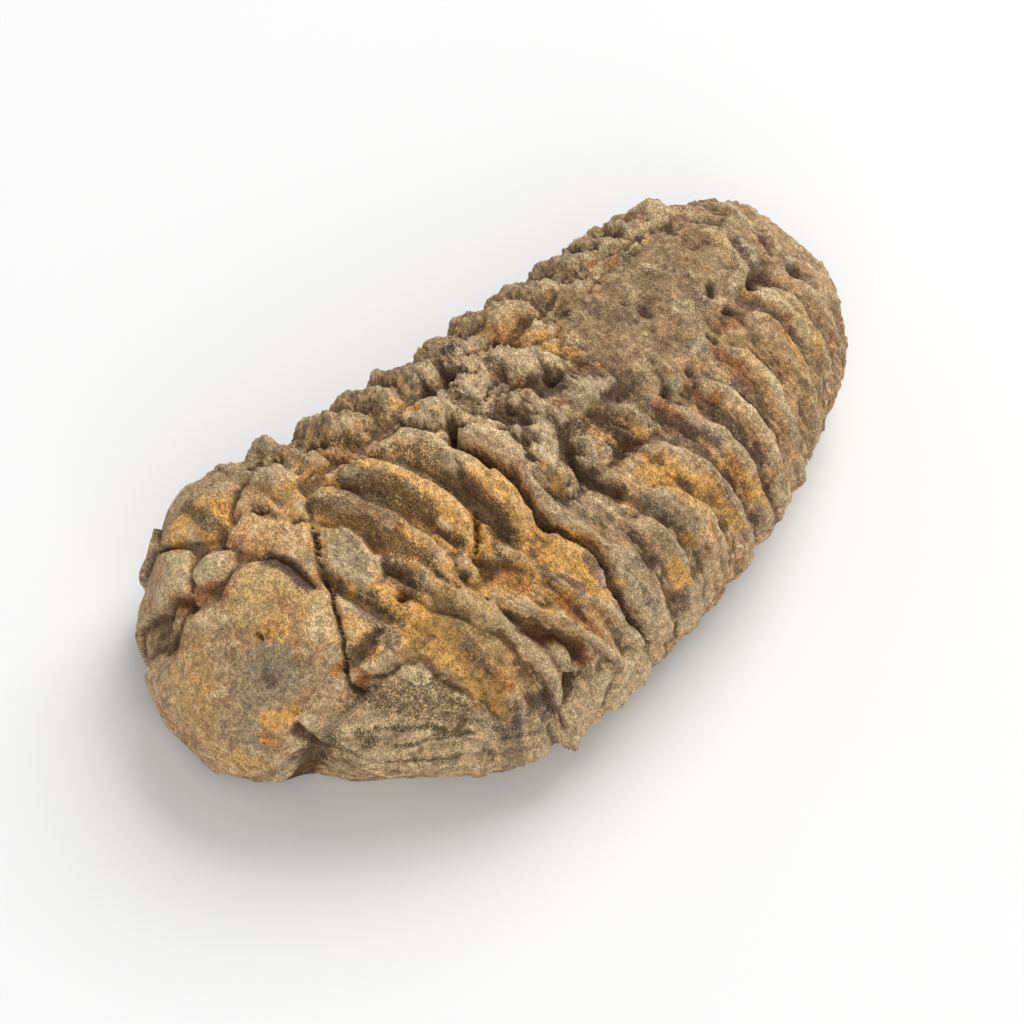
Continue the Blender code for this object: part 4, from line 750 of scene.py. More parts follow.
    ("ochre", ((-25.1, -4.9), (-24.8, -2.1), (-24.4, 0.4), (-24.2, 3.3)), 0.8, 0.8),
    ("pale", ((-13.2, -6.5), (-11.8, -4.1), (-11.0, -1.2), (-10.8, 1.4)), 0.8, 0.7),
    ("soot_and_shade", ((-13.3, -3.1), (-12.4, -0.7), (-12.0, 2.2)), 0.9, 0.7),
    ("ochre", ((-11.2, 3.1), (-10.9, 6.1), (-11.0, 8.6)), 1.2, 0.7),
    ("plum", ((-12.7, 1.8), (-13.1, 5.1), (-13.7, 8.3)), 0.9, 0.7),
    ("soot_and_shade", ((24.6, -9.2), (26.1, -8.6)), 0.7, 0.6),
    ("slate", ((20.1, -1.4), (20.5, 0.2)), 1.2, 0.5),
    ("slate", ((15.8, -5.5), (16.3, -2.7), (17.9, -0.9)), 1.2, 0.5),
    ("slate", ((27.1, -3.6), (27.6, -1.4)), 1.0, 0.5),
    ("pale", ((25.1, -6.4), (25.5, -5.0)), 0.8, 0.6),
    ("pale", ((23.7, 1.7), (24.5, 3.3)), 0.9, 0.5),
    ("pale", ((10.6, -2.8), (11.4, -0.7)), 0.9, 0.5),
    ("slate", ((26.8, 2.1), (26.1, 3.4)), 0.9, 0.7),
    ("ochre", ((-19.2, -6.1), (-18.3, -3.4), (-17.3, -0.3), (-16.3, 2.9), (-15.5, 5.8),
        (-16.0, 8.4)), 1.0, 0.85),
    ("yellow", ((-17.9, -5.9), (-16.7, -2.5), (-15.6, 1.4), (-14.8, 4.6)), 0.9, 0.9),
    ("ochre", ((-10.4, 4.4), (-9.9, 7.7), (-10.0, 10.4), (-10.6, 13.2)), 1.0, 0.9),
    ("yellow", ((-10.9, 2.6), (-9.8, 5.1), (-9.3, 8.0), (-9.3, 10.7)), 1.0, 0.9),
    ("soot_and_shade", ((-13.3, 4.1), (-12.9, 7.1), (-13.0, 9.7), (-13.3, 11.9)), 1.0, 1.0),
    ("soot_and_shade", ((-25.9, -4.5), (-25.3, -1.9), (-24.6, 2.9), (-23.3, 6.8)), 0.8, 0.9),
    ("yellow", ((-25.2, -7.1), (-23.9, -4.4), (-22.9, -1.4)), 1.0, 0.8),
    ("ochre", ((-23.5, -1.5), (-22.6, 0.9), (-21.9, 2.9)), 0.9, 0.9),
    ("ochre", ((-27.4, 10.5), (-27.8, 12.3), (-27.9, 13.8), (-27.1, 17.4)), 1.7, 1.0),
    ("ochre", ((-28.7, 7.6), (-28.9, 9.5), (-29.3, 11.1)), 1.1, 1.0),
    ("ochre", ((-15.6, 9.7), (-16.7, 11.6), (-17.8, 13.5), (-16.0, 17.2)), 1.5, 0.9),
    ("soot_and_shade", ((-17.5, 12.8), (-17.4, 13.8)), 0.7, 1.0),
    ("soot_and_shade", ((-16.0, 13.4), (-15.9, 14.4)), 0.6, 0.9),
    ("ochre", ((-11.9, 13.8), (-11.8, 15.5), (-11.9, 17.2)), 1.5, 0.95),
    ("yellow", ((-14.7, -5.2), (-13.6, -2.7), (-12.9, -0.2)), 1.0, 0.6),
    ("yellow", ((-27.5, 9.1), (-26.2, 8.7)), 0.8, 0.5),
    ("yellow", ((-25.4, 12.5), (-24.0, 15.1), (-22.8, 18.0), (-22.0, 20.6)), 1.2, 0.7),
    ("yellow", ((-35.4, 9.3), (-35.1, 10.7)), 1.2, 0.6),
    ("pale", ((-31.4, 16.1), (-30.5, 16.7), (-30.0, 17.9), (-30.8, 18.2), (-31.7, 17.2)), 1.0, 0.9),
    ("pale", ((-29.3, 22.5), (-28.7, 23.7), (-27.7, 24.9)), 0.35, 0.9),
    ("pale", ((-42.5, 12.4), (-41.6, 14.2), (-39.7, 16.6), (-37.3, 18.8), (-35.3, 21.0)), 1.0, 0.6),
    ("pale", ((-32.1, 24.3), (-29.5, 26.8), (-27.7, 29.2)), 0.8, 0.5),
    ("pale", ((-42.1, 15.4), (-40.9, 18.0), (-39.4, 20.5), (-37.5, 23.3), (-35.4, 25.0),
        (-33.6, 26.0)), 0.5, 0.75),
    ("pale", ((-34.1, 24.0), (-32.5, 25.9), (-31.3, 27.5)), 0.5, 0.7),
    ("pale", ((-40.4, 20.8), (-38.1, 24.4), (-35.7, 27.5), (-34.0, 28.9)), 0.35, 0.7),
    ("pale", ((-30.2, 30.1), (-27.0, 32.0), (-23.6, 34.0)), 0.6, 0.5),
    ("pale", ((-42.3, 15.2), (-41.9, 16.5)), 0.6, 0.9),
    ("soot_and_shade", ((-36.7, 14.7), (-35.2, 17.2), (-33.1, 18.9), (-30.9, 21.7), (-29.7, 24.4)), 1.6, 0.55),
    ("soot_and_shade", ((-34.8, 19.8), (-32.5, 22.4), (-30.9, 24.2)), 1.0, 0.5),
    ("soot_and_shade", ((-38.9, 18.6), (-38.1, 20.4), (-38.7, 20.4)), 0.7, 0.75),
    ("soot_and_shade", ((-37.5, 19.4), (-35.6, 21.7), (-33.5, 23.6), (-31.9, 25.4)), 0.35, 0.8),
    ("soot_and_shade", ((-36.5, 23.1), (-35.3, 24.6), (-33.5, 25.7), (-31.5, 27.1)), 0.3, 0.8),
    ("soot_and_shade", ((-32.4, 25.3), (-31.2, 27.3), (-29.8, 28.2)), 0.35, 0.75),
    ("soot_and_shade", ((-41.2, 17.4), (-40.3, 19.7), (-38.4, 23.1), (-36.4, 25.7), (-33.1, 29.3),
        (-31.3, 30.7)), 0.3, 0.8),
    ("soot_and_shade", ((-28.4, 27.2), (-26.6, 29.6), (-24.6, 31.8)), 0.5, 0.5),
    ("soot_and_shade", ((-26.9, 30.9), (-24.7, 32.2), (-22.3, 33.4)), 0.35, 0.6),
    ("soot_and_shade", ((-43.7, 12.5), (-43.2, 14.7), (-42.6, 17.0)), 0.8, 0.7),
    ("soot_and_shade", ((-41.9, 16.1), (-41.3, 17.9)), 0.6, 0.7),
    ("pale", ((-44.6, 13.2), (-43.9, 14.6), (-43.4, 14.7)), 0.8, 0.6),
    ("pale", ((-21.6, -5.0), (-20.8, -3.0), (-20.1, -1.1), (-19.2, 2.1), (-18.1, 5.7),
        (-18.3, 7.3)), 0.35, 0.8),
    ("pale", ((-19.1, -7.5), (-17.7, -5.7), (-16.3, -3.1), (-15.1, -0.2), (-14.6, 1.8),
        (-14.4, 4.1)), 0.4, 0.7),
    ("pale", ((-29.7, -3.9), (-28.6, -2.4), (-27.7, -0.8), (-27.3, 1.3), (-27.2, 3.7), (-26.5, 5.1),
        (-25.0, 7.0), (-24.5, 9.0), (-24.0, 10.6)), 0.4, 0.9),
    ("pale", ((-27.3, -7.3), (-28.2, -5.2)), 0.4, 0.7),
    ("pale", ((-26.8, -15.0), (-25.2, -13.6), (-25.5, -10.4), (-26.5, -8.3)), 0.6, 0.6),
    ("pale", ((-28.7, -15.8), (-26.8, -15.0)), 0.35, 0.5),
    ("pale", ((-39.2, -10.8), (-40.2, -10.2), (-40.8, -8.9)), 0.6, 0.6),
    ("pale", ((-31.9, -10.6), (-30.9, -8.3), (-30.0, -5.8), (-29.8, -4.4)), 0.8, 0.4),
    ("pale", ((-43.2, -6.1), (-42.1, -4.7), (-41.9, -2.4)), 0.8, 0.5),
    ("rust", ((-27.7, -15.1), (-29.5, -14.7), (-31.5, -13.9), (-33.1, -13.1)), 0.7, 0.6),
    ("rust", ((-35.5, -9.2), (-35.1, -7.4), (-34.2, -5.6)), 0.9, 0.5),
    ("rust", ((-37.1, 1.5), (-36.2, 1.5), (-37.3, 2.2)), 0.9, 0.4),
    ("ochre", ((-40.0, 2.2), (-39.1, 2.8), (-38.8, 4.1), (-39.9, 3.8)), 1.0, 0.55),
    ("pale", ((-35.5, 5.2), (-36.1, 6.1), (-37.0, 6.7)), 0.6, 0.7),
)

# Bare stone: its two tones, and patches of other tones in screen values. Each row: cells per metre,
# detail and roughness of its noise, the noise values where it begins and is full, colour
STONE_DARKER = (190, 160, 120)
STONE_LIGHTER = (214, 180, 136)
PATCH_STRENGTH = 0.6
PATCHES = (
    (240.0, 4.0, 0.6, 0.44, 0.60, (204, 156, 106)),
    (380.0, 6.0, 0.7, 0.48, 0.60, (124, 98, 70)),
    (520.0, 6.0, 0.7, 0.51, 0.62, (228, 202, 160)),
)
# Colour of the hollows: partly dust, partly painted shade
HOLLOW_DUST_AND_SHADE_COLOUR = (88, 62, 40)
# Colour of the crests: partly wear, partly a painted highlight
WORN_EDGE_AND_HIGHLIGHT_COLOUR = (224, 200, 160)
SPECK_COLOUR = (96, 66, 40)
DARK_SAND = (0.62, 0.58, 0.50, 1.0)
LIGHT_SAND = (1.42, 1.40, 1.36, 1.0)

# Cells per metre of the other noises
BROAD_CELLS = 110.0
WASH_CELLS = 300.0
LAYER_CELLS = 420.0
COARSE_CELLS = 1250.0
COARSE_RAG_CELLS = 1300.0
STREAK_CELLS = 1500.0
SPECK_CELLS = 1700.0
SAND_CELLS = 4600.0
FINE_CELLS = 5200.0

# Raggedness of the stains, streaks along the layers, number of layers and depth of the bump in metres
COARSE_RAG = 2.4
FINE_RAG = 2.2
STREAK_STRETCH = 0.12
STREAK_STRENGTH = 0.36
LAYER_COUNT = 16.0
BUMP_DEPTH = 0.0011

# Floor and light in metres. Each lamp: name, place to the right, away and up, size, watts
FLOOR_SIZE = 6.0
FLOOR_DROP = 0.00005
FLOOR_SHADE = 0.80
SKY_STRENGTH = 0.44
LAMPS = (
    ("key", 0.50, 0.74, 0.95, 0.9, 15.0),
    ("fill", 0.1, -0.8, 0.6, 0.8, 4.5),
)

# Camera: height of the aim point over the floor, bearing and rise of the view, distance, lens
AIM_HEIGHT = 12.0
VIEW_BEARING = 47.4
VIEW_RISE = 53.0
VIEW_DISTANCE = 480.0
LENS = 141.7
SENSOR_WIDTH = 36.0
FRAME_PIXELS = 1024.0
AIM_RIGHT_OF_CENTRE = 13.0
AIM_OVER_CENTRE = 28.0


def curve(t, stations, values):
    """Smooth curve through (station, value): cubic Hermite with central-difference slopes."""
    stations = np.asarray(stations, float)
    values = np.asarray(values, float)
    slopes = np.gradient(values, stations)
    i = np.clip(np.searchsorted(stations, t, side="right") - 1, 0, len(stations) - 2)
    step = stations[i + 1] - stations[i]
    k = (t - stations[i]) / step
    start = (2 * k**3 - 3 * k**2 + 1) * values[i] + (k**3 - 2 * k**2 + k) * step * slopes[i]
    end = (3 * k**2 - 2 * k**3) * values[i + 1] + (k**3 - k**2) * step * slopes[i + 1]
    return start + end


def smooth(x):
    """Smooth step: 0 below 0, 1 above 1 and 3x^2 - 2x^3 between."""
    x = np.clip(x, 0.0, 1.0)
    return x * x * (3 - 2 * x)


def rounding(t, head, tail, power):
    """Superellipse that closes both ends: (1 - (1 - t/head)^p)^(1/p) times the same at the tail."""
    front = 1 - np.clip(t / head, 0, 1)
    back = 1 - np.clip((1 - t) / tail, 0, 1)
    return (1 - front**power) ** (1 / power) * (1 - back**power) ** (1 / power)


def body(t, phi):
    """Plain lump: a superellipse section of angle phi at each fraction t of the length.

    x = bend + half width * sign(cos) |cos|^n and z = margin + crest * |sin|^n over the margins. Below
    them the section turns in and lies flat at z = 0.
    """
    closing = rounding(t, HEAD_ROUNDING, TAIL_ROUNDING, ROUNDING_POWER)
    belly = rounding(t, 0.8 * HEAD_ROUNDING, 0.8 * TAIL_ROUNDING, 3.0)
    c, s = np.cos(phi), np.sin(phi)
    side = np.where(c > 0, curve(t, STATIONS, LEFT_HALF_WIDTH), curve(t, STATIONS, RIGHT_HALF_WIDTH))
    margin = (MARGIN_HEIGHT + (NOSE_HEIGHT - MARGIN_HEIGHT) * np.exp(-(t / TIP_SHARE) ** 2)
              + (TAIL_TIP_HEIGHT - MARGIN_HEIGHT) * np.exp(-((1 - t) / TIP_SHARE) ** 2))
    tuck = np.where(s < 0, 1 - UNDERSIDE_TUCK * np.abs(s), 1.0)
    x = BEND * (2 * t - 1) ** 2 + side * closing * np.sign(c) * np.abs(c) ** SECTION_POWER * tuck
    crest = (curve(t, STATIONS, HEIGHT) - margin) * closing
    above = margin + crest * np.abs(s) ** SECTION_POWER
    below = margin - margin * belly * np.minimum(1.0, 1.3 * np.abs(s) ** 0.85)
    y = LENGTH * (t - 0.5) + 0 * x
    return np.stack([x, y, np.where(s >= 0, above, below)], -1)


def lump_frame(t, phi):
    """Unit vectors of the plain lump from small steps along t and phi: outward, and towards +v."""
    e = 1e-4
    t0, t1 = np.clip(t - e, 1e-5, 1 - 1e-5), np.clip(t + e, 1e-5, 1 - 1e-5)
    along = body(t1, phi) - body(t0, phi)
    turning = body(t, phi + e) - body(t, phi - e)
    upright = np.cross(along, turning)
    upright /= np.maximum(np.linalg.norm(upright, axis=-1, keepdims=True), 1e-12)
    return upright, -turning / np.maximum(np.linalg.norm(turning, axis=-1, keepdims=True), 1e-12)


ARC_T = np.linspace(0.001, 0.999, 201)
ARC_PHI = np.linspace(-0.5 * np.pi, 1.5 * np.pi, 401)
CREST_COLUMN = 200


def arc_table():
    """Distance over the section from the crest, for each ARC_T and ARC_PHI; + on the left flank."""
    points = body(ARC_T[:, None], ARC_PHI[None, :])
    steps = np.linalg.norm(np.diff(points, axis=1), axis=-1)
    arc = np.concatenate([np.zeros((len(ARC_T), 1)), np.cumsum(steps, axis=1)], axis=1)
    return arc[:, CREST_COLUMN:CREST_COLUMN + 1] - arc


ARC = arc_table()


def round_distance(t, phi):
    """v of each point, read between the rows and columns of ARC."""
    a = np.clip((t - ARC_T[0]) / (ARC_T[1] - ARC_T[0]), 0, len(ARC_T) - 1.001)
    b = np.clip((phi - ARC_PHI[0]) / (ARC_PHI[1] - ARC_PHI[0]), 0, len(ARC_PHI) - 1.001)
    i, j = a.astype(int), b.astype(int)
    fa, fb = a - i, b - j
    low = ARC[i, j] * (1 - fb) + ARC[i, j + 1] * fb
    high = ARC[i + 1, j] * (1 - fb) + ARC[i + 1, j + 1] * fb
    return low * (1 - fa) + high * fa


def place(y, v):
    """Point of the plain lump at (y, v)."""
    t = np.clip(y / LENGTH + 0.5, ARC_T[0], ARC_T[-1])
    row = int(round((t - ARC_T[0]) / (ARC_T[1] - ARC_T[0])))
    phi = np.interp(-v, -ARC[row], ARC_PHI)
    return body(np.array(t), np.array(phi))


LATTICE_SIZE = 32
LATTICE = np.random.default_rng(7).random((8, LATTICE_SIZE, LATTICE_SIZE, LATTICE_SIZE)) * 2 - 1
TURN = np.array([[0.80, 0.48, -0.36], [-0.60, 0.64, -0.48], [0.0, 0.60, 0.80]])


def cloud(points, size, layer=0):
    """Value noise, -1 to 1: lattice values of one layer blended over cells of the given size."""
    q = points @ TURN / size + 100.0
    i = np.floor(q).astype(int)
    f = q - i
    f = f * f * (3 - 2 * f)
    i0, i1 = i % LATTICE_SIZE, (i + 1) % LATTICE_SIZE
    table = LATTICE[layer % 8]
    total = 0.0
    for corner in range(8):
        pick = [(corner >> axis) & 1 for axis in range(3)]
        index = [np.where(pick[axis], i1[..., axis], i0[..., axis]) for axis in range(3)]
        share = 1.0
        for axis in range(3):
            share = share * (f[..., axis] if pick[axis] else 1 - f[..., axis])
        total = total + share * table[index[0], index[1], index[2]]
    return total


def clouds(points, size, octaves, layer=0):
    """Sum of clouds, each half the size and 0.55 the strength of the last, kept near -1 to 1."""
    total, weight, sum_weight = 0.0, 1.0, 0.0
    for n in range(octaves):
        total = total + weight * cloud(points, size / 2**n, layer + n)
        sum_weight += weight
        weight *= 0.55
    return 1.6 * total / sum_weight


def near_to(points, marks, reach):
    """Mask of the points inside the box round the marks, widened by reach."""
    low, high = marks.min(axis=0) - reach, marks.max(axis=0) + reach
    return np.all((points > low) & (points < high), axis=-1)


def along_route(points, upright, marks):
    """Distance of each point from a route, its offset, + on the tail side, and how far past the ends."""
    nearest = np.full(len(points), np.inf)
    offset = np.full(len(points), np.inf)
    for a, b in zip(marks[:-1], marks[1:]):
        run = b - a
        k = np.clip(((points - a) @ run) / (run @ run), 0, 1)
        gap = points - a - k[:, None] * run
        far = np.linalg.norm(gap, axis=-1)
        side = np.cross(upright, run / np.linalg.norm(run))
        closer = far < nearest
        nearest = np.where(closer, far, nearest)
        offset = np.where(closer, (gap * side).sum(-1), offset)
    past = np.sqrt(np.maximum(nearest**2 - offset**2, 0))
    return nearest, offset, past


def near_route(points, upright, route, reach):
    """Mask of the points in reach of a route of (y, v) corners, and what along_route says of them."""
    marks = np.array([place(*corner) for corner in route])
    near = near_to(points, marks, reach)
    return (near, *along_route(points[near], upright[near], marks))


def local_frame(centre):
    """Centre point with unit vectors along the back, round it and out of it, at a (y, v) place."""
    middle = place(*centre)
    ahead, beside = place(centre[0] + 0.5, centre[1]), place(centre[0], centre[1] + 0.5)
    out = np.cross(beside - middle, ahead - middle)
    out = out / np.linalg.norm(out)
    along = np.array([0.0, 1.0, -1.2 * out[1]])
    along = along - (along @ out) * out
    along = along / np.linalg.norm(along)
    return middle, along, np.cross(along, out), out


def mound_shape(points, centre, reach_along, reach_round, turn):
    """Height 1 at the centre falling to 0 as exp(-r^2), r in reaches along and round the back."""
    middle, along, beside, out = local_frame(centre)
    gap = points - middle
    a, b, c = gap @ along, gap @ beside, gap @ out
    cos, sin = np.cos(np.radians(turn)), np.sin(np.radians(turn))
    r2 = ((a * cos + b * sin) / reach_along) ** 2 + ((b * cos - a * sin) / reach_round) ** 2
    return np.exp(-r2 - (c / (1.5 * max(reach_along, reach_round))) ** 2)


def within(y, v, outline):
    """Even-odd test: True where a point lies inside the closed outline of (y, v) corners."""
    inside = np.zeros(y.shape, bool)
    corners = list(outline)
    for (y0, v0), (y1, v1) in zip(corners, corners[1:] + corners[:1]):
        if v0 == v1:
            continue
        crosses = (v0 > v) != (v1 > v)
        inside ^= crosses & (y < y0 + (v - v0) * (y1 - y0) / (v1 - v0))
    return inside


def plates(y, v, lines, rows):
    """Overlapping plates, 0 in each furrow and their height at each crest.

    k runs from 0 at the furrow in front to 1 at the furrow behind. The height follows
    smooth(k / front) up the steep front and falls by four fifths over the rest.
    """
    v = np.clip(v, lines[0], lines[-1])
    table = np.array([curve(v, lines, crossings) for _, _, crossings in rows])
    height = np.zeros_like(v)
    for n in range(len(rows) - 1):
        rise, front, _ = rows[n]
        k = (y - table[n]) / np.maximum(table[n + 1] - table[n], 0.8)
        inside = (k >= 0) & (k < 1)
        shape = smooth(k / front) * (1 - 0.8 * smooth((k - front) / (1 - front)))
        height = np.where(inside, rise * shape, height)
    return height


def rib_height(height, skin_place, ragged, rear, front, rise, front_width, rear_width):
    """Rib between its rear and front edges, rising from each over its width and low at the foot.

    With k = distance / width, at most 1, each side is 0.6 k + 0.4 sqrt(k (2 - k)).
    """
    points, upright, y, v = skin_place
    outline = rear + front[::-1]
    near = near_to(points, np.array([place(*corner) for corner in outline]), 1.0)
    up_side = smooth((points[near][:, 2] - RIB_FOOT) / (RIB_FULL - RIB_FOOT))
    shape = within(y[near], v[near], outline) * rise * (RIB_FOOT_SHARE + (1 - RIB_FOOT_SHARE) * up_side)
    for edge, width in ((rear, rear_width), (front, front_width)):
        marks = np.array([place(*corner) for corner in edge])
        k = np.minimum(along_route(points[near], upright[near], marks)[0] / width, 1.0)
        shape = shape * (0.6 * k + 0.4 * np.sqrt(k * (2 - k)))
    height[near] = shape


def mound_height(height, skin_place, ragged, centre, reach_along, reach_round, turn, rise):
    """Round mound, or a hollow where the height is negative."""
    points = skin_place[0]
    near = near_to(points, place(*centre)[None], 2.6 * max(reach_along, reach_round))
    height[near] = rise * mound_shape(points[near], centre, reach_along, reach_round, turn)


def lobe_height(height, skin_place, ragged, outline, rise, edge, hidden=0):
    """Flat-topped lobe that rises over its edge as a quarter circle, sqrt(1 - (1 - d / edge)^2)."""
    points, upright, y, v = skin_place
    near = near_to(points, np.array([place(*corner) for corner in outline]), 1.0)
    edged = outline[:-hidden] if hidden else outline + (outline[0],)
    marks = np.array([place(*corner) for corner in edged])
    distance = along_route(points[near], upright[near], marks)[0]
    k = np.where(within(y[near], v[near], outline), np.minimum(distance / edge, 1.0), 0.0)
    height[near] = rise * np.sqrt(np.maximum(1 - (1 - k) ** 2, 0))


def ridge_height(height, skin_place, ragged, route, rise, front, back):
    """Ridge with a steep side of the reach front and a gentle one of the reach back."""
    points, upright, _, _ = skin_place
    near, _, offset, past = near_route(points, upright, route, 3.0 * max(front, back))
    shape = np.where(offset < 0, smooth(1 + offset / front), 1 - smooth(offset / back))
    height[near] = rise * shape * np.exp(-((past / (0.5 * (front + back))) ** 2))


def trench_height(height, skin_place, ragged, route, depth, half_width):
    """Soft trench, -depth exp(-(d / half width)^2)."""
    points, upright, _, _ = skin_place
    near, distance, _, _ = near_route(points, upright, route, 3.0 * half_width)
    height[near] = -depth * np.exp(-((distance / half_width) ** 2))


def crack_height(height, skin_place, ragged, route, depth, half_width):
    """Sharp crack whose lips wander in and out."""
    points, upright, _, _ = skin_place
    near, distance, _, _ = near_route(points, upright, route, 3.0 * half_width)
    height[near] = -depth * smooth(1 - distance / (1.6 * half_width * ragged[near]))


# Each fills in the height of one form at the points near it. A skin place holds the strayed points,
# their outward vectors, y and v; ragged is how far a crack's lips wander at each point
FORM_HEIGHTS = {
    "rib": rib_height,
    "mound": mound_height,
    "lobe": lobe_height,
    "ridge": ridge_height,
    "trench": trench_height,
    "crack": crack_height,
}


def cut_flat(points, upright, height, centre, depth):
    """Height cut down to a plane that lies at the given depth under the surface at its middle."""
    middle, _, _, out = local_frame(centre)
    over = (points + height[:, None] * upright - middle) @ out + depth
    lean = upright @ out
    return np.where((over > 0) & (lean > 0.3), height - over / np.maximum(lean, 0.3), height)


def terraces(field):
    """Steps of height 1 with steep, narrow risers: whole part plus smooth(rest / 0.15)."""
    step = np.floor(field)
    return step + smooth((field - step) / 0.15)


def chips(points, size, layer=0):
    """Tilted flats with sharp steps between: each point lies on the plane of its nearest centre.

    Centres are scattered, one to each cell of the given size, and every one has its own lean.
    """
    q = points / size + 50.0
    cell = np.floor(q).astype(int)
    nearest, height = np.full(len(q), 9.0), np.zeros(len(q))
    for corner in np.ndindex(3, 3, 3):
        at = cell + np.array(corner) - 1
        index = tuple((at % LATTICE_SIZE).T)
        centre = at + 0.5 + 0.45 * np.stack([LATTICE[(layer + k) % 8][index] for k in range(3)], -1)
        lean = np.stack([LATTICE[(layer + 3 + k) % 8][index] for k in range(3)], -1)
        gap = q - centre
        far = (gap**2).sum(-1)
        height = np.where(far < nearest, (gap * lean).sum(-1), height)
        nearest = np.minimum(nearest, far)
    return height


def shattered(y, v):
    """Mask of the broken part: the middle of the back and the far flank behind the head."""
    middle = smooth((y + 13) / 4) * smooth((12 - y) / 4) * smooth((15 - v) / 4)
    return np.maximum(middle, smooth((y + 28) / 4) * smooth((-8 - v) / 3))


def stray(points, broad_layer, fine_layer):
    """How far the edges of the forms stray at each point."""
    broad = BROAD_STRAY * clouds(points, BROAD_STRAY_CELL, 4, broad_layer)
    return broad + FINE_STRAY * clouds(points, FINE_STRAY_CELL, 2, fine_layer)


def far_flank(y, v, stray_y):
    """Height of the far flank: rubbed-down plates on a side that is lowered as a whole."""
    axial_furrow = curve(y, *np.array(RIGHT_AXIAL_FURROW, float).T)
    on_flank = smooth((axial_furrow - v) / 3.0) * smooth((y + 31) / 4)
    at_margin = smooth((np.abs(v) - 26) / 10)
    height = (1 - 0.5 * at_margin) * on_flank * plates(y + 1.5 * stray_y, -v, RIGHT_LINES, RIGHT_PLATES)
    return height - FAR_LOWERING * smooth((-v - 11) / 6) * smooth((y + 30) / 8) * smooth((38 - y) / 8)


def foot_tuck(points, y, v):
    """Depth by which the foot is tucked in: twice as much at the near cheek and nothing at the nose."""
    near_cheek = smooth((-25 - y) / 8) * smooth((v - 12) / 4)
    nose = smooth((-44 - y) / 3)
    return FOOT_TUCK * (1 + near_cheek - nose) * smooth((FOOT_TOP - points[:, 2]) / 5)


def cover(points, strayed, y, v):
    """Height of what covers the whole stone: waves, bumps, leaves, ledges, chips and the filling's grain.

    The head's dome is sound. The rest is broken, most of all the parts that shattered names.
    """
    off_dome = smooth((y + 33) / 4)
    broken = off_dome + (1 - off_dome) * smooth((v - 11) / 3)
    shattered_part = shattered(y, v)
    split = shattered_part * smooth((v + 12) / 3)
    sound, added, cell = BUMPS
    height = WAVE * clouds(points, WAVE_CELL, 3, 2) + (sound + added * broken) * clouds(points, cell, 3, 4)
    follow = y - curve(v, SWEEP_LINES, SWEEP)
    leaves = 0.6 - 2.0 * np.abs(clouds(np.stack([follow, 0.1 * v, 0 * v], -1), LEAF_CELL, 3, 2))
    height += LEAF * leaves * off_dome * (1 - 0.5 * smooth((8 - np.abs(v)) / 4))
    sound, added, cell = LEDGES
    ledges = terraces(2.2 * clouds(points, cell, 4, 6)) - 0.5
    height += (sound + added * shattered_part) * broken * ledges
    for (sound, added, cell), layer in ((LARGE_CHIPS, 2), (SMALL_CHIPS, 5)):
        height += (sound + added * split) * broken * chips(strayed, cell, layer)
    filling = smooth((y - 3) / 6) * (1 - smooth((np.abs(v + 0.5) - 7) / 3)) * (1 - smooth((y - 34) / 4))
    grain = FILLING_WAVE * clouds(points, FILLING_WAVE_CELL, 3, 5)
    return height + filling * (grain + FILLING_GRAIN * clouds(points, FILLING_GRAIN_CELL, 2, 6))


def relief(points, upright, around, y, v):
    """Height of the fossil's skin over the plain lump, in millimetres."""
    stray_y = stray(points, 1, 5)
    stray_v = stray(points, 4, 0)
    along = np.cross(upright, around)
    strayed = points + stray_y[:, None] * along + stray_v[:, None] * around
    skin_place = (strayed, upright, y + stray_y * along[:, 1], v + stray_v)
    ragged = 1 + CRACK_RAGGEDNESS * clouds(points, CRACK_CELL, 2, 3)
    height = far_flank(y, v, stray_y) - foot_tuck(points, y, v)
    for kind, *sizes in FORMS:
        form = np.zeros(len(points))
        FORM_HEIGHTS[kind](form, skin_place, ragged, *sizes)
        height += form
    for centre, depth in FACETS:
        height = cut_flat(points, upright, height, centre, depth)
    return height + cover(points, strayed, y, v)


def blurred(field, rows, columns):
    """Field averaged three times over a window of rows and columns; columns wrap round the section."""
    for _ in range(3):
        padded = np.concatenate([field[:1].repeat(rows + 1, 0), field, field[-1:].repeat(rows, 0)])
        total = padded.cumsum(axis=0)
        field = (total[2 * rows + 1:] - total[:-2 * rows - 1]) / (2 * rows + 1)
        padded = np.concatenate([field[:, -columns - 1:], field, field[:, :columns]], axis=1)
        total = padded.cumsum(axis=1)
        field = (total[:, 2 * columns + 1:] - total[:, :-2 * columns - 1]) / (2 * columns + 1)
    return field


def row_fractions(u):
    """Fraction of the length for each row. Rows crowd towards the two poles.

    Their spacing grows with 1 - 0.93 exp(-(t / 0.06)^2) from either end.
    """
    fine = np.linspace(0, 1, 4001)
    density = 1 - 0.93 * (np.exp(-((fine / 0.06) ** 2)) + np.exp(-(((1 - fine) / 0.06) ** 2)))
    total = np.cumsum(density)
    return np.interp(u, fine, (total - total[0]) / (total[-1] - total[0]))


def section_angle(share):
    """Angle phi for each share of the way round: TOP_SHARE of the columns cover the back."""
    return np.interp(share, (0, TOP_SHARE, 1), (-0.1 * np.pi, 1.1 * np.pi, 1.9 * np.pi))


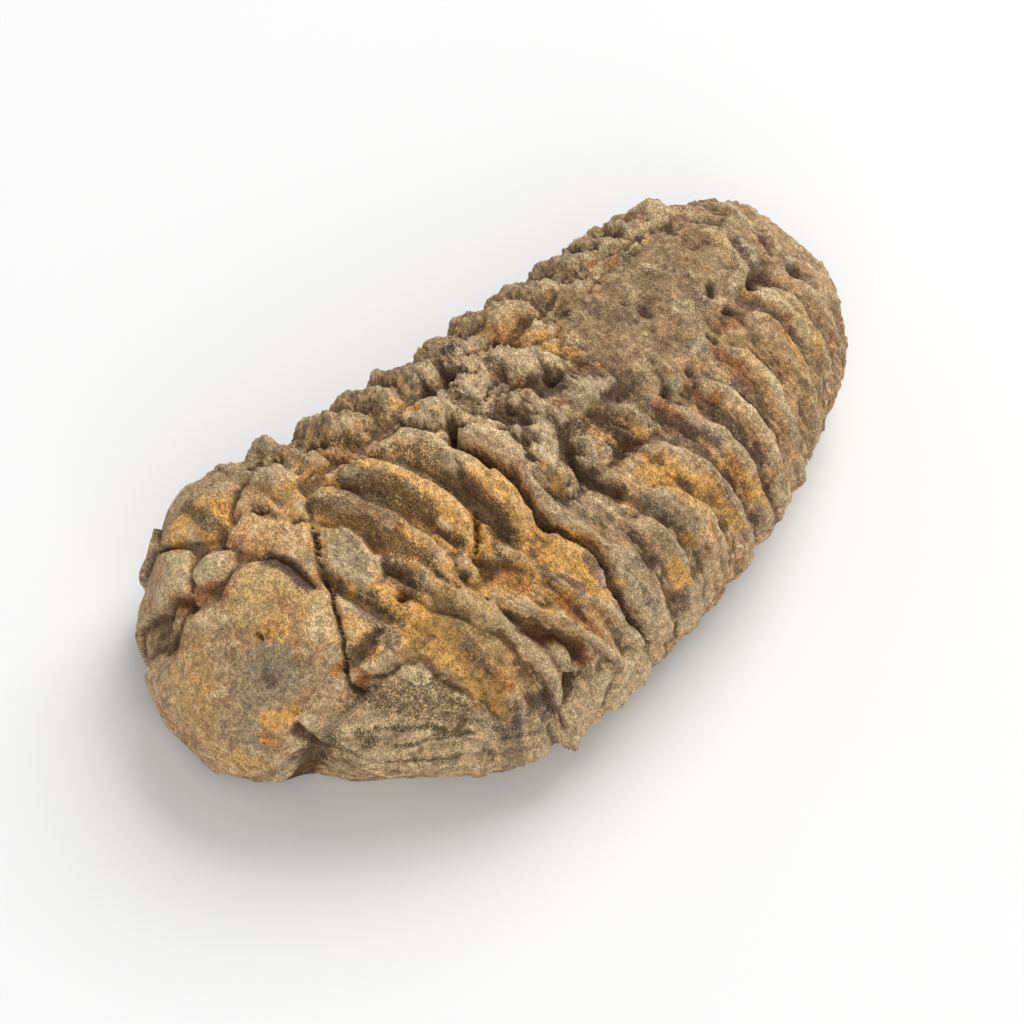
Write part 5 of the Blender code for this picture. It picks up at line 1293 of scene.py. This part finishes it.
def stains(points, upright):
    """Strength of each kind of stain at each point, 0 to 1, fading with the distance from its route."""
    fields = {kind: np.zeros(len(points)) for kind in (*WASH_COLOURS, *STAIN_COLOURS)}
    rag = [clouds(points, STAIN_RAG_CELL, 4, layer) for layer in range(4)]
    for n, (kind, route, half_width, strength) in enumerate(WASHES + STAINS):
        route = route if len(route) > 1 else (route[0], (route[0][0] + 0.1, route[0][1]))
        near, distance, _, _ = near_route(points, upright, route, 2.5 * half_width)
        fullness = STAIN_CORE - STAIN_FALL * distance / half_width + STAIN_RAG * rag[n % 4][near]
        fields[kind][near] = np.maximum(fields[kind][near], strength * smooth(fullness))
    return fields


def skin():
    """Grid of the fossil's skin, with the plain lump's points, outward vectors, y, v and the height on it.

    Rows run from nose to tail and columns round the section. The rows lean with the ribs.
    """
    u = np.linspace(0, 1, ROWS + 1)[:, None]
    share = (np.arange(COLUMNS) / COLUMNS)[None, :]
    phi = section_angle(share)
    phi = np.where(phi > 1.5 * np.pi, phi - 2 * np.pi, phi) + 0 * u
    t = row_fractions(u) + 0 * phi
    swept = curve(round_distance(t, phi), SWEEP_LINES, SWEEP) / LENGTH
    t = t + swept * smooth(t / 0.25) * smooth((1 - t) / 0.2)
    plain = body(t, phi)
    upright, around = lump_frame(t, phi)
    y = plain[..., 1]
    v = round_distance(t, phi)
    shape = plain.shape[:2]
    flat = [plain.reshape(-1, 3), upright.reshape(-1, 3), around.reshape(-1, 3), y.ravel(), v.ravel()]
    height = relief(*flat).reshape(shape)
    notch = smooth(1.6 - np.hypot(plain[..., 0] - NOTCH[0], plain[..., 1] - NOTCH[1]) / NOTCH_RADIUS)
    upward = np.maximum(smooth((plain[..., 2] - BELLY_EDGE) / BELLY_BLEND), notch)
    ends = smooth(u / 0.02) * smooth((1 - u) / 0.02)
    points = plain + upright * (height * upward * ends)[..., None]
    over = np.maximum(points[..., 2] - TOP_SOFTENED, 0.0)
    pressed = TOP_LEFT * (1 - np.exp(-over / TOP_LEFT))
    points[..., 2] = np.maximum(points[..., 2] - over + pressed, 0.0)
    return points, plain, upright, y, v, height


def grid_mesh(name, points):
    """Closed mesh over a grid of rows round an axis: quads between rows, fans at the two poles."""
    rows, columns = points.shape[:2]
    inner = points[1:-1].reshape(-1, 3)
    nose, tail = points[0].mean(axis=0), points[-1].mean(axis=0)
    vertices = np.concatenate([inner, nose[None], tail[None]]) * MM
    index = np.arange(len(inner)).reshape(rows - 2, columns)
    right = np.roll(index, -1, axis=1)
    quads = np.stack([index[:-1], index[1:], right[1:], right[:-1]], -1).reshape(-1, 4)
    nose_fan = np.stack([np.full(columns, len(inner)), index[0], right[0]], -1)
    tail_fan = np.stack([np.full(columns, len(inner) + 1), right[-1], index[-1]], -1)
    faces = [*quads.tolist(), *nose_fan.tolist(), *tail_fan.tolist()]
    mesh = bpy.data.meshes.new(name)
    mesh.from_pydata(vertices.tolist(), [], faces)
    mesh.update()
    mesh.shade_smooth()
    return mesh


def store_field(mesh, name, field):
    """Put a per-vertex field of the skin into the mesh; a pole takes its ring's mean."""
    values = np.concatenate([field[1:-1].ravel(), [field[0].mean(), field[-1].mean()]])
    attribute = mesh.attributes.new(name, "FLOAT", "POINT")
    attribute.data.foreach_set("value", values.astype(np.float32))


class Nodes:
    """Small helper that adds and links shader nodes in one tree."""

    def __init__(self, tree):
        self.tree = tree

    def add(self, kind, **settings):
        node = self.tree.nodes.new(kind)
        for key, value in settings.items():
            setattr(node, key, value)
        return node

    def feed(self, socket, value):
        if isinstance(value, bpy.types.NodeSocket):
            self.tree.links.new(value, socket)
        elif value is not None:
            socket.default_value = value

    def field(self, name):
        return self.add("ShaderNodeAttribute", attribute_name=name).outputs["Fac"]

    def noise(self, where, scale, detail, roughness=0.6):
        node = self.add("ShaderNodeTexNoise")
        self.feed(node.inputs["Vector"], where)
        node.inputs["Scale"].default_value = scale
        node.inputs["Detail"].default_value = detail
        node.inputs["Roughness"].default_value = roughness
        return node.outputs["Fac"]

    def span(self, value, low, high, to_low=0.0, to_high=1.0):
        node = self.add("ShaderNodeMapRange", interpolation_type="SMOOTHSTEP")
        self.feed(node.inputs["Value"], value)
        for socket, number in zip(("From Min", "From Max", "To Min", "To Max"), (low, high, to_low, to_high)):
            node.inputs[socket].default_value = number
        return node.outputs["Result"]

    def math(self, operation, a, b=None):
        node = self.add("ShaderNodeMath", operation=operation)
        self.feed(node.inputs[0], a)
        self.feed(node.inputs[1], b)
        return node.outputs[0]

    def scaled(self, tone, value):
        node = self.add("ShaderNodeVectorMath", operation="SCALE")
        self.feed(node.inputs[0], tone)
        self.feed(node.inputs["Scale"], value)
        return node.outputs[0]

    def tinted(self, tone, tint):
        node = self.add("ShaderNodeVectorMath", operation="MULTIPLY")
        self.feed(node.inputs[0], tone)
        self.feed(node.inputs[1], tint)
        return node.outputs[0]

    def mix(self, factor, a, b):
        node = self.add("ShaderNodeMix", data_type="RGBA")
        self.feed(node.inputs["Factor"], factor)
        self.feed(node.inputs[6], a)
        self.feed(node.inputs[7], b)
        return node.outputs[2]


def colour(red, green, blue):
    """Linear colour from 0-255 screen values: the usual (c / 255)^2.2."""
    return tuple((c / 255) ** 2.2 for c in (red, green, blue)) + (1.0,)


def bare_stone(n, where):
    """Colour of the unstained stone, and the streaks along its layers."""
    broad = n.span(n.noise(where, BROAD_CELLS, 3.0), 0.38, 0.62)
    tone = n.mix(broad, colour(*STONE_DARKER), colour(*STONE_LIGHTER))
    for cells, detail, roughness, low, high, shade in PATCHES:
        patch = n.span(n.noise(where, cells, detail, roughness), low, high)
        tone = n.mix(n.math("MULTIPLY", patch, PATCH_STRENGTH), tone, colour(*shade))
    beside = n.add("ShaderNodeCombineXYZ")
    n.feed(beside.inputs[0], n.math("MULTIPLY", n.field("follow"), MM))
    n.feed(beside.inputs[1], n.math("MULTIPLY", n.field("around"), STREAK_STRETCH * MM))
    streak = n.noise(beside.outputs[0], STREAK_CELLS, 4.0, 0.7)
    streaky = n.span(streak, 0.38, 0.62, -STREAK_STRENGTH, STREAK_STRENGTH)
    tone = n.scaled(tone, n.math("ADD", n.math("MULTIPLY", streaky, n.field("leafy")), 1.0))
    return tone, streak


def stained(n, where, tone):
    """Colour with the washes, the stains and their dark specks over it, and the raggedness they use."""
    patchy = n.span(n.noise(where, WASH_CELLS, 5.0, 0.7), 0.35, 0.6, 0.45, 1.0)
    # Washes: olive is partly painted shade and cream is partly painted light
    for kind, shade in WASH_COLOURS.items():
        tone = n.mix(n.math("MULTIPLY", n.field(kind), patchy), tone, colour(*shade))
    ragged = n.math("SUBTRACT", n.noise(where, COARSE_RAG_CELLS, 6.0, 0.9), 0.5)
    specked = n.math("SUBTRACT", n.noise(where, FINE_CELLS, 2.0, 0.7), 0.5)
    ragged = n.math("ADD", n.math("MULTIPLY", ragged, COARSE_RAG), n.math("MULTIPLY", specked, FINE_RAG))
    # The soot films are partly painted shade
    for kind, shade in STAIN_COLOURS.items():
        film = n.span(n.math("ADD", n.field(kind), ragged), 0.30, 0.72, 0.0, 0.85)
        tone = n.mix(n.math("MULTIPLY", film, n.span(n.field(kind), 0.0, 0.5)), tone, colour(*shade))
        ragged = n.math("MULTIPLY", ragged, -1.0)
    specks = n.span(n.noise(where, SPECK_CELLS, 4.0, 0.7), 0.58, 0.66)
    specks = n.math("MULTIPLY", n.math("ADD", n.field("ochre"), n.field("rust")), specks)
    return n.mix(n.math("MINIMUM", specks, 0.75), tone, colour(*SPECK_COLOUR)), ragged


def darkened_hollows_pale_crests(n, tone, ragged):
    """Colour darkened in the hollows, partly dust and partly painted shade, and paler on the crests, partly
    wear and partly a painted highlight; less so where ochre covers the stone.
    """
    hollow = n.span(n.math("ADD", n.field("hollow"), n.math("MULTIPLY", ragged, 0.4)), 0.2, 0.9)
    bare = n.span(n.math("ADD", n.field("ochre"), n.field("yellow")), 0.0, 0.8, 1.0, 0.4)
    hollow = n.math("MULTIPLY", hollow, n.math("ADD", n.math("MULTIPLY", bare, 0.4), 0.35))
    # Painted shade, with some dust, darkens the hollows
    tone = n.mix(hollow, tone, colour(*HOLLOW_DUST_AND_SHADE_COLOUR))
    # Painted highlight, with some wear, pales the crests
    wear_and_highlight = n.span(n.math("ADD", n.field("wear_and_highlight"), n.math("MULTIPLY", ragged, 0.6)), 0.3, 0.9)
    return n.mix(n.math("MULTIPLY", wear_and_highlight, n.math("MULTIPLY", bare, 0.6)), tone, colour(*WORN_EDGE_AND_HIGHLIGHT_COLOUR))


def stone_grain(n, where, streak, relief_noise):
    """Height for the bump: coarse and fine grain, streaks and thin stepped layers."""
    rough = n.math("ADD", relief_noise, n.math("MULTIPLY", n.noise(where, FINE_CELLS, 2.0), 0.3))
    rough = n.math("ADD", rough, n.math("MULTIPLY", n.math("MULTIPLY", streak, n.field("leafy")), 0.6))
    layers = n.math("MULTIPLY", n.noise(where, LAYER_CELLS, 4.0, 0.6), LAYER_COUNT)
    layers = n.math("ADD", n.math("FLOOR", layers), n.span(n.math("FRACT", layers), 0.0, 0.22))
    return n.math("ADD", rough, n.math("MULTIPLY", n.math("MULTIPLY", layers, n.field("leafy")), 0.22))


def stone_material():
    """Granular tan stone with ochre and rust stains, dark mineral films that are partly painted shade, dust
    and painted shade in the hollows, and a painted highlight on the crests.
    """
    material = bpy.data.materials.new("fossil_stone")
    material.use_nodes = True
    tree = material.node_tree
    shader = tree.nodes["Principled BSDF"]
    n = Nodes(tree)
    where = n.add("ShaderNodeTexCoord").outputs["Object"]
    tone, streak = bare_stone(n, where)
    tone, ragged = stained(n, where, tone)
    tone = darkened_hollows_pale_crests(n, tone, ragged)
    relief_noise = n.noise(where, COARSE_CELLS, 4.0, 0.6)
    # Painted shade in the low spots of the grain and painted light on its high spots: the colour follows the
    # same noise as the bump
    tone = n.scaled(tone, n.span(relief_noise, 0.36, 0.64, 0.76, 1.28))
    sand = n.span(n.noise(where, SAND_CELLS, 2.0, 0.8), 0.36, 0.64)
    n.feed(shader.inputs["Base Color"], n.tinted(tone, n.mix(sand, DARK_SAND, LIGHT_SAND)))
    shader.inputs["Roughness"].default_value = 0.85
    bump = n.add("ShaderNodeBump")
    bump.inputs["Distance"].default_value = BUMP_DEPTH
    bump.inputs["Strength"].default_value = 1.0
    n.feed(bump.inputs["Height"], stone_grain(n, where, streak, relief_noise))
    n.feed(shader.inputs["Normal"], bump.outputs["Normal"])
    return material


def store_hollows_and_crests(mesh, height):
    """Put in how hollow and how raised the skin is, from its height against the mean height around; the
    colour paints shade, with dust, in the hollows and a highlight, with wear, on the crests.
    """
    depth = blurred(height, 3, 3) - height
    broad_depth = blurred(height, 8, 6) - height
    store_field(mesh, "hollow", smooth(1.5 * depth + 0.4 * broad_depth))
    store_field(mesh, "wear_and_highlight", smooth(-1.4 * depth - 0.3 * broad_depth))


def store_layers(mesh, y, v):
    """Put in the distance across and along the stone's layers, and where they show.

    They follow the ribs, but slant across the flat side of the near cheek.
    """
    cheek_side = smooth((v - 14) / 2) * smooth((-24 - y) / 3)
    follow = y - curve(v, SWEEP_LINES, SWEEP)
    store_field(mesh, "follow", follow + cheek_side * (0.77 * v - 0.64 * y - follow))
    store_field(mesh, "around", v + cheek_side * y)
    on_flanks = smooth((y + 30) / 3) * smooth((np.abs(v) - 8) / 3)
    store_field(mesh, "leafy", np.maximum(cheek_side, on_flanks))


def make_fossil():
    """The fine skin that stands for the CAD solid."""
    points, plain, upright, y, v, height = skin()
    middle = 0.5 * (points.min(axis=(0, 1)) + points.max(axis=(0, 1)))
    shift = np.array([middle[0], middle[1], 0.0])
    mesh = grid_mesh("trilobite_skin", points - shift)
    for kind, field in stains(plain.reshape(-1, 3), upright.reshape(-1, 3)).items():
        store_field(mesh, kind, field.reshape(height.shape))
    store_hollows_and_crests(mesh, height)
    store_layers(mesh, y, v)
    fossil = bpy.data.objects.new("trilobite_skin", mesh)
    bpy.context.scene.collection.objects.link(fossil)
    fossil.data.materials.append(stone_material())
    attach(fossil, "root")
    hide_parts("trilobite")
    return shift * MM


def make_floor():
    """Plain pale floor, just under the fossil."""
    bpy.ops.mesh.primitive_plane_add(size=FLOOR_SIZE, location=(0.0, 0.0, -FLOOR_DROP))
    floor = bpy.context.object
    floor.name = "floor"
    material = bpy.data.materials.new("pale_floor")
    material.use_nodes = True
    shader = material.node_tree.nodes["Principled BSDF"]
    shader.inputs["Base Color"].default_value = (FLOOR_SHADE, FLOOR_SHADE, FLOOR_SHADE, 1.0)
    shader.inputs["Roughness"].default_value = 0.9
    floor.data.materials.append(material)


def view_axes():
    """Unit vectors of the view: towards the camera, to its right and up the picture."""
    bearing, rise = np.radians(VIEW_BEARING), np.radians(VIEW_RISE)
    back = np.array([np.sin(bearing) * np.cos(rise), -np.cos(bearing) * np.cos(rise), np.sin(rise)])
    right = np.array([np.cos(bearing), np.sin(bearing), 0.0])
    return back, right, np.cross(back, right)


def aim_matrix(back, right, up, location):
    """World matrix of a camera or lamp whose -Z looks against back."""
    rows = [[right[i], up[i], back[i], location[i]] for i in range(3)]
    return Matrix(rows + [[0, 0, 0, 1]])


def make_camera(shift):
    """Camera at the photo's bearing, rise and distance, with a long lens."""
    back, right, up = view_axes()
    data = bpy.data.cameras.new("camera")
    data.lens = LENS
    data.sensor_width = SENSOR_WIDTH
    data.shift_x = -AIM_RIGHT_OF_CENTRE / FRAME_PIXELS
    data.shift_y = -AIM_OVER_CENTRE / FRAME_PIXELS
    data.clip_end = 20.0
    camera = bpy.data.objects.new("camera", data)
    aim = np.array([0.0, 0.0, AIM_HEIGHT * MM]) - shift
    camera.matrix_world = aim_matrix(back, right, up, aim + back * VIEW_DISTANCE * MM)
    bpy.context.scene.collection.objects.link(camera)
    bpy.context.scene.camera = camera


def make_lamp(name, to_right, away, height, size, watts):
    """Square soft lamp placed in metres to the right of, beyond and over the fossil, aimed at it."""
    _, right, _ = view_axes()
    beyond = np.array([-right[1], right[0], 0.0])
    location = to_right * right + away * beyond + np.array([0.0, 0.0, height])
    data = bpy.data.lights.new(name, "AREA")
    data.size = size
    data.energy = watts
    lamp = bpy.data.objects.new(name, data)
    back = location / np.linalg.norm(location)
    side = np.cross([0.0, 0.0, 1.0], back)
    side = side / max(np.linalg.norm(side), 1e-9)
    lamp.matrix_world = aim_matrix(back, side, np.cross(back, side), location)
    bpy.context.scene.collection.objects.link(lamp)


def make_light():
    """White surroundings, a broad key light from the far right and a soft fill from the near side."""
    world = bpy.data.worlds.new("studio")
    bpy.context.scene.world = world
    world.use_nodes = True
    sky = world.node_tree.nodes["Background"]
    sky.inputs["Color"].default_value = (1.0, 1.0, 1.0, 1.0)
    sky.inputs["Strength"].default_value = SKY_STRENGTH
    for lamp in LAMPS:
        make_lamp(*lamp)
    bpy.context.scene.view_settings.view_transform = "Standard"


shift = make_fossil()
make_floor()
make_camera(shift)
make_light()
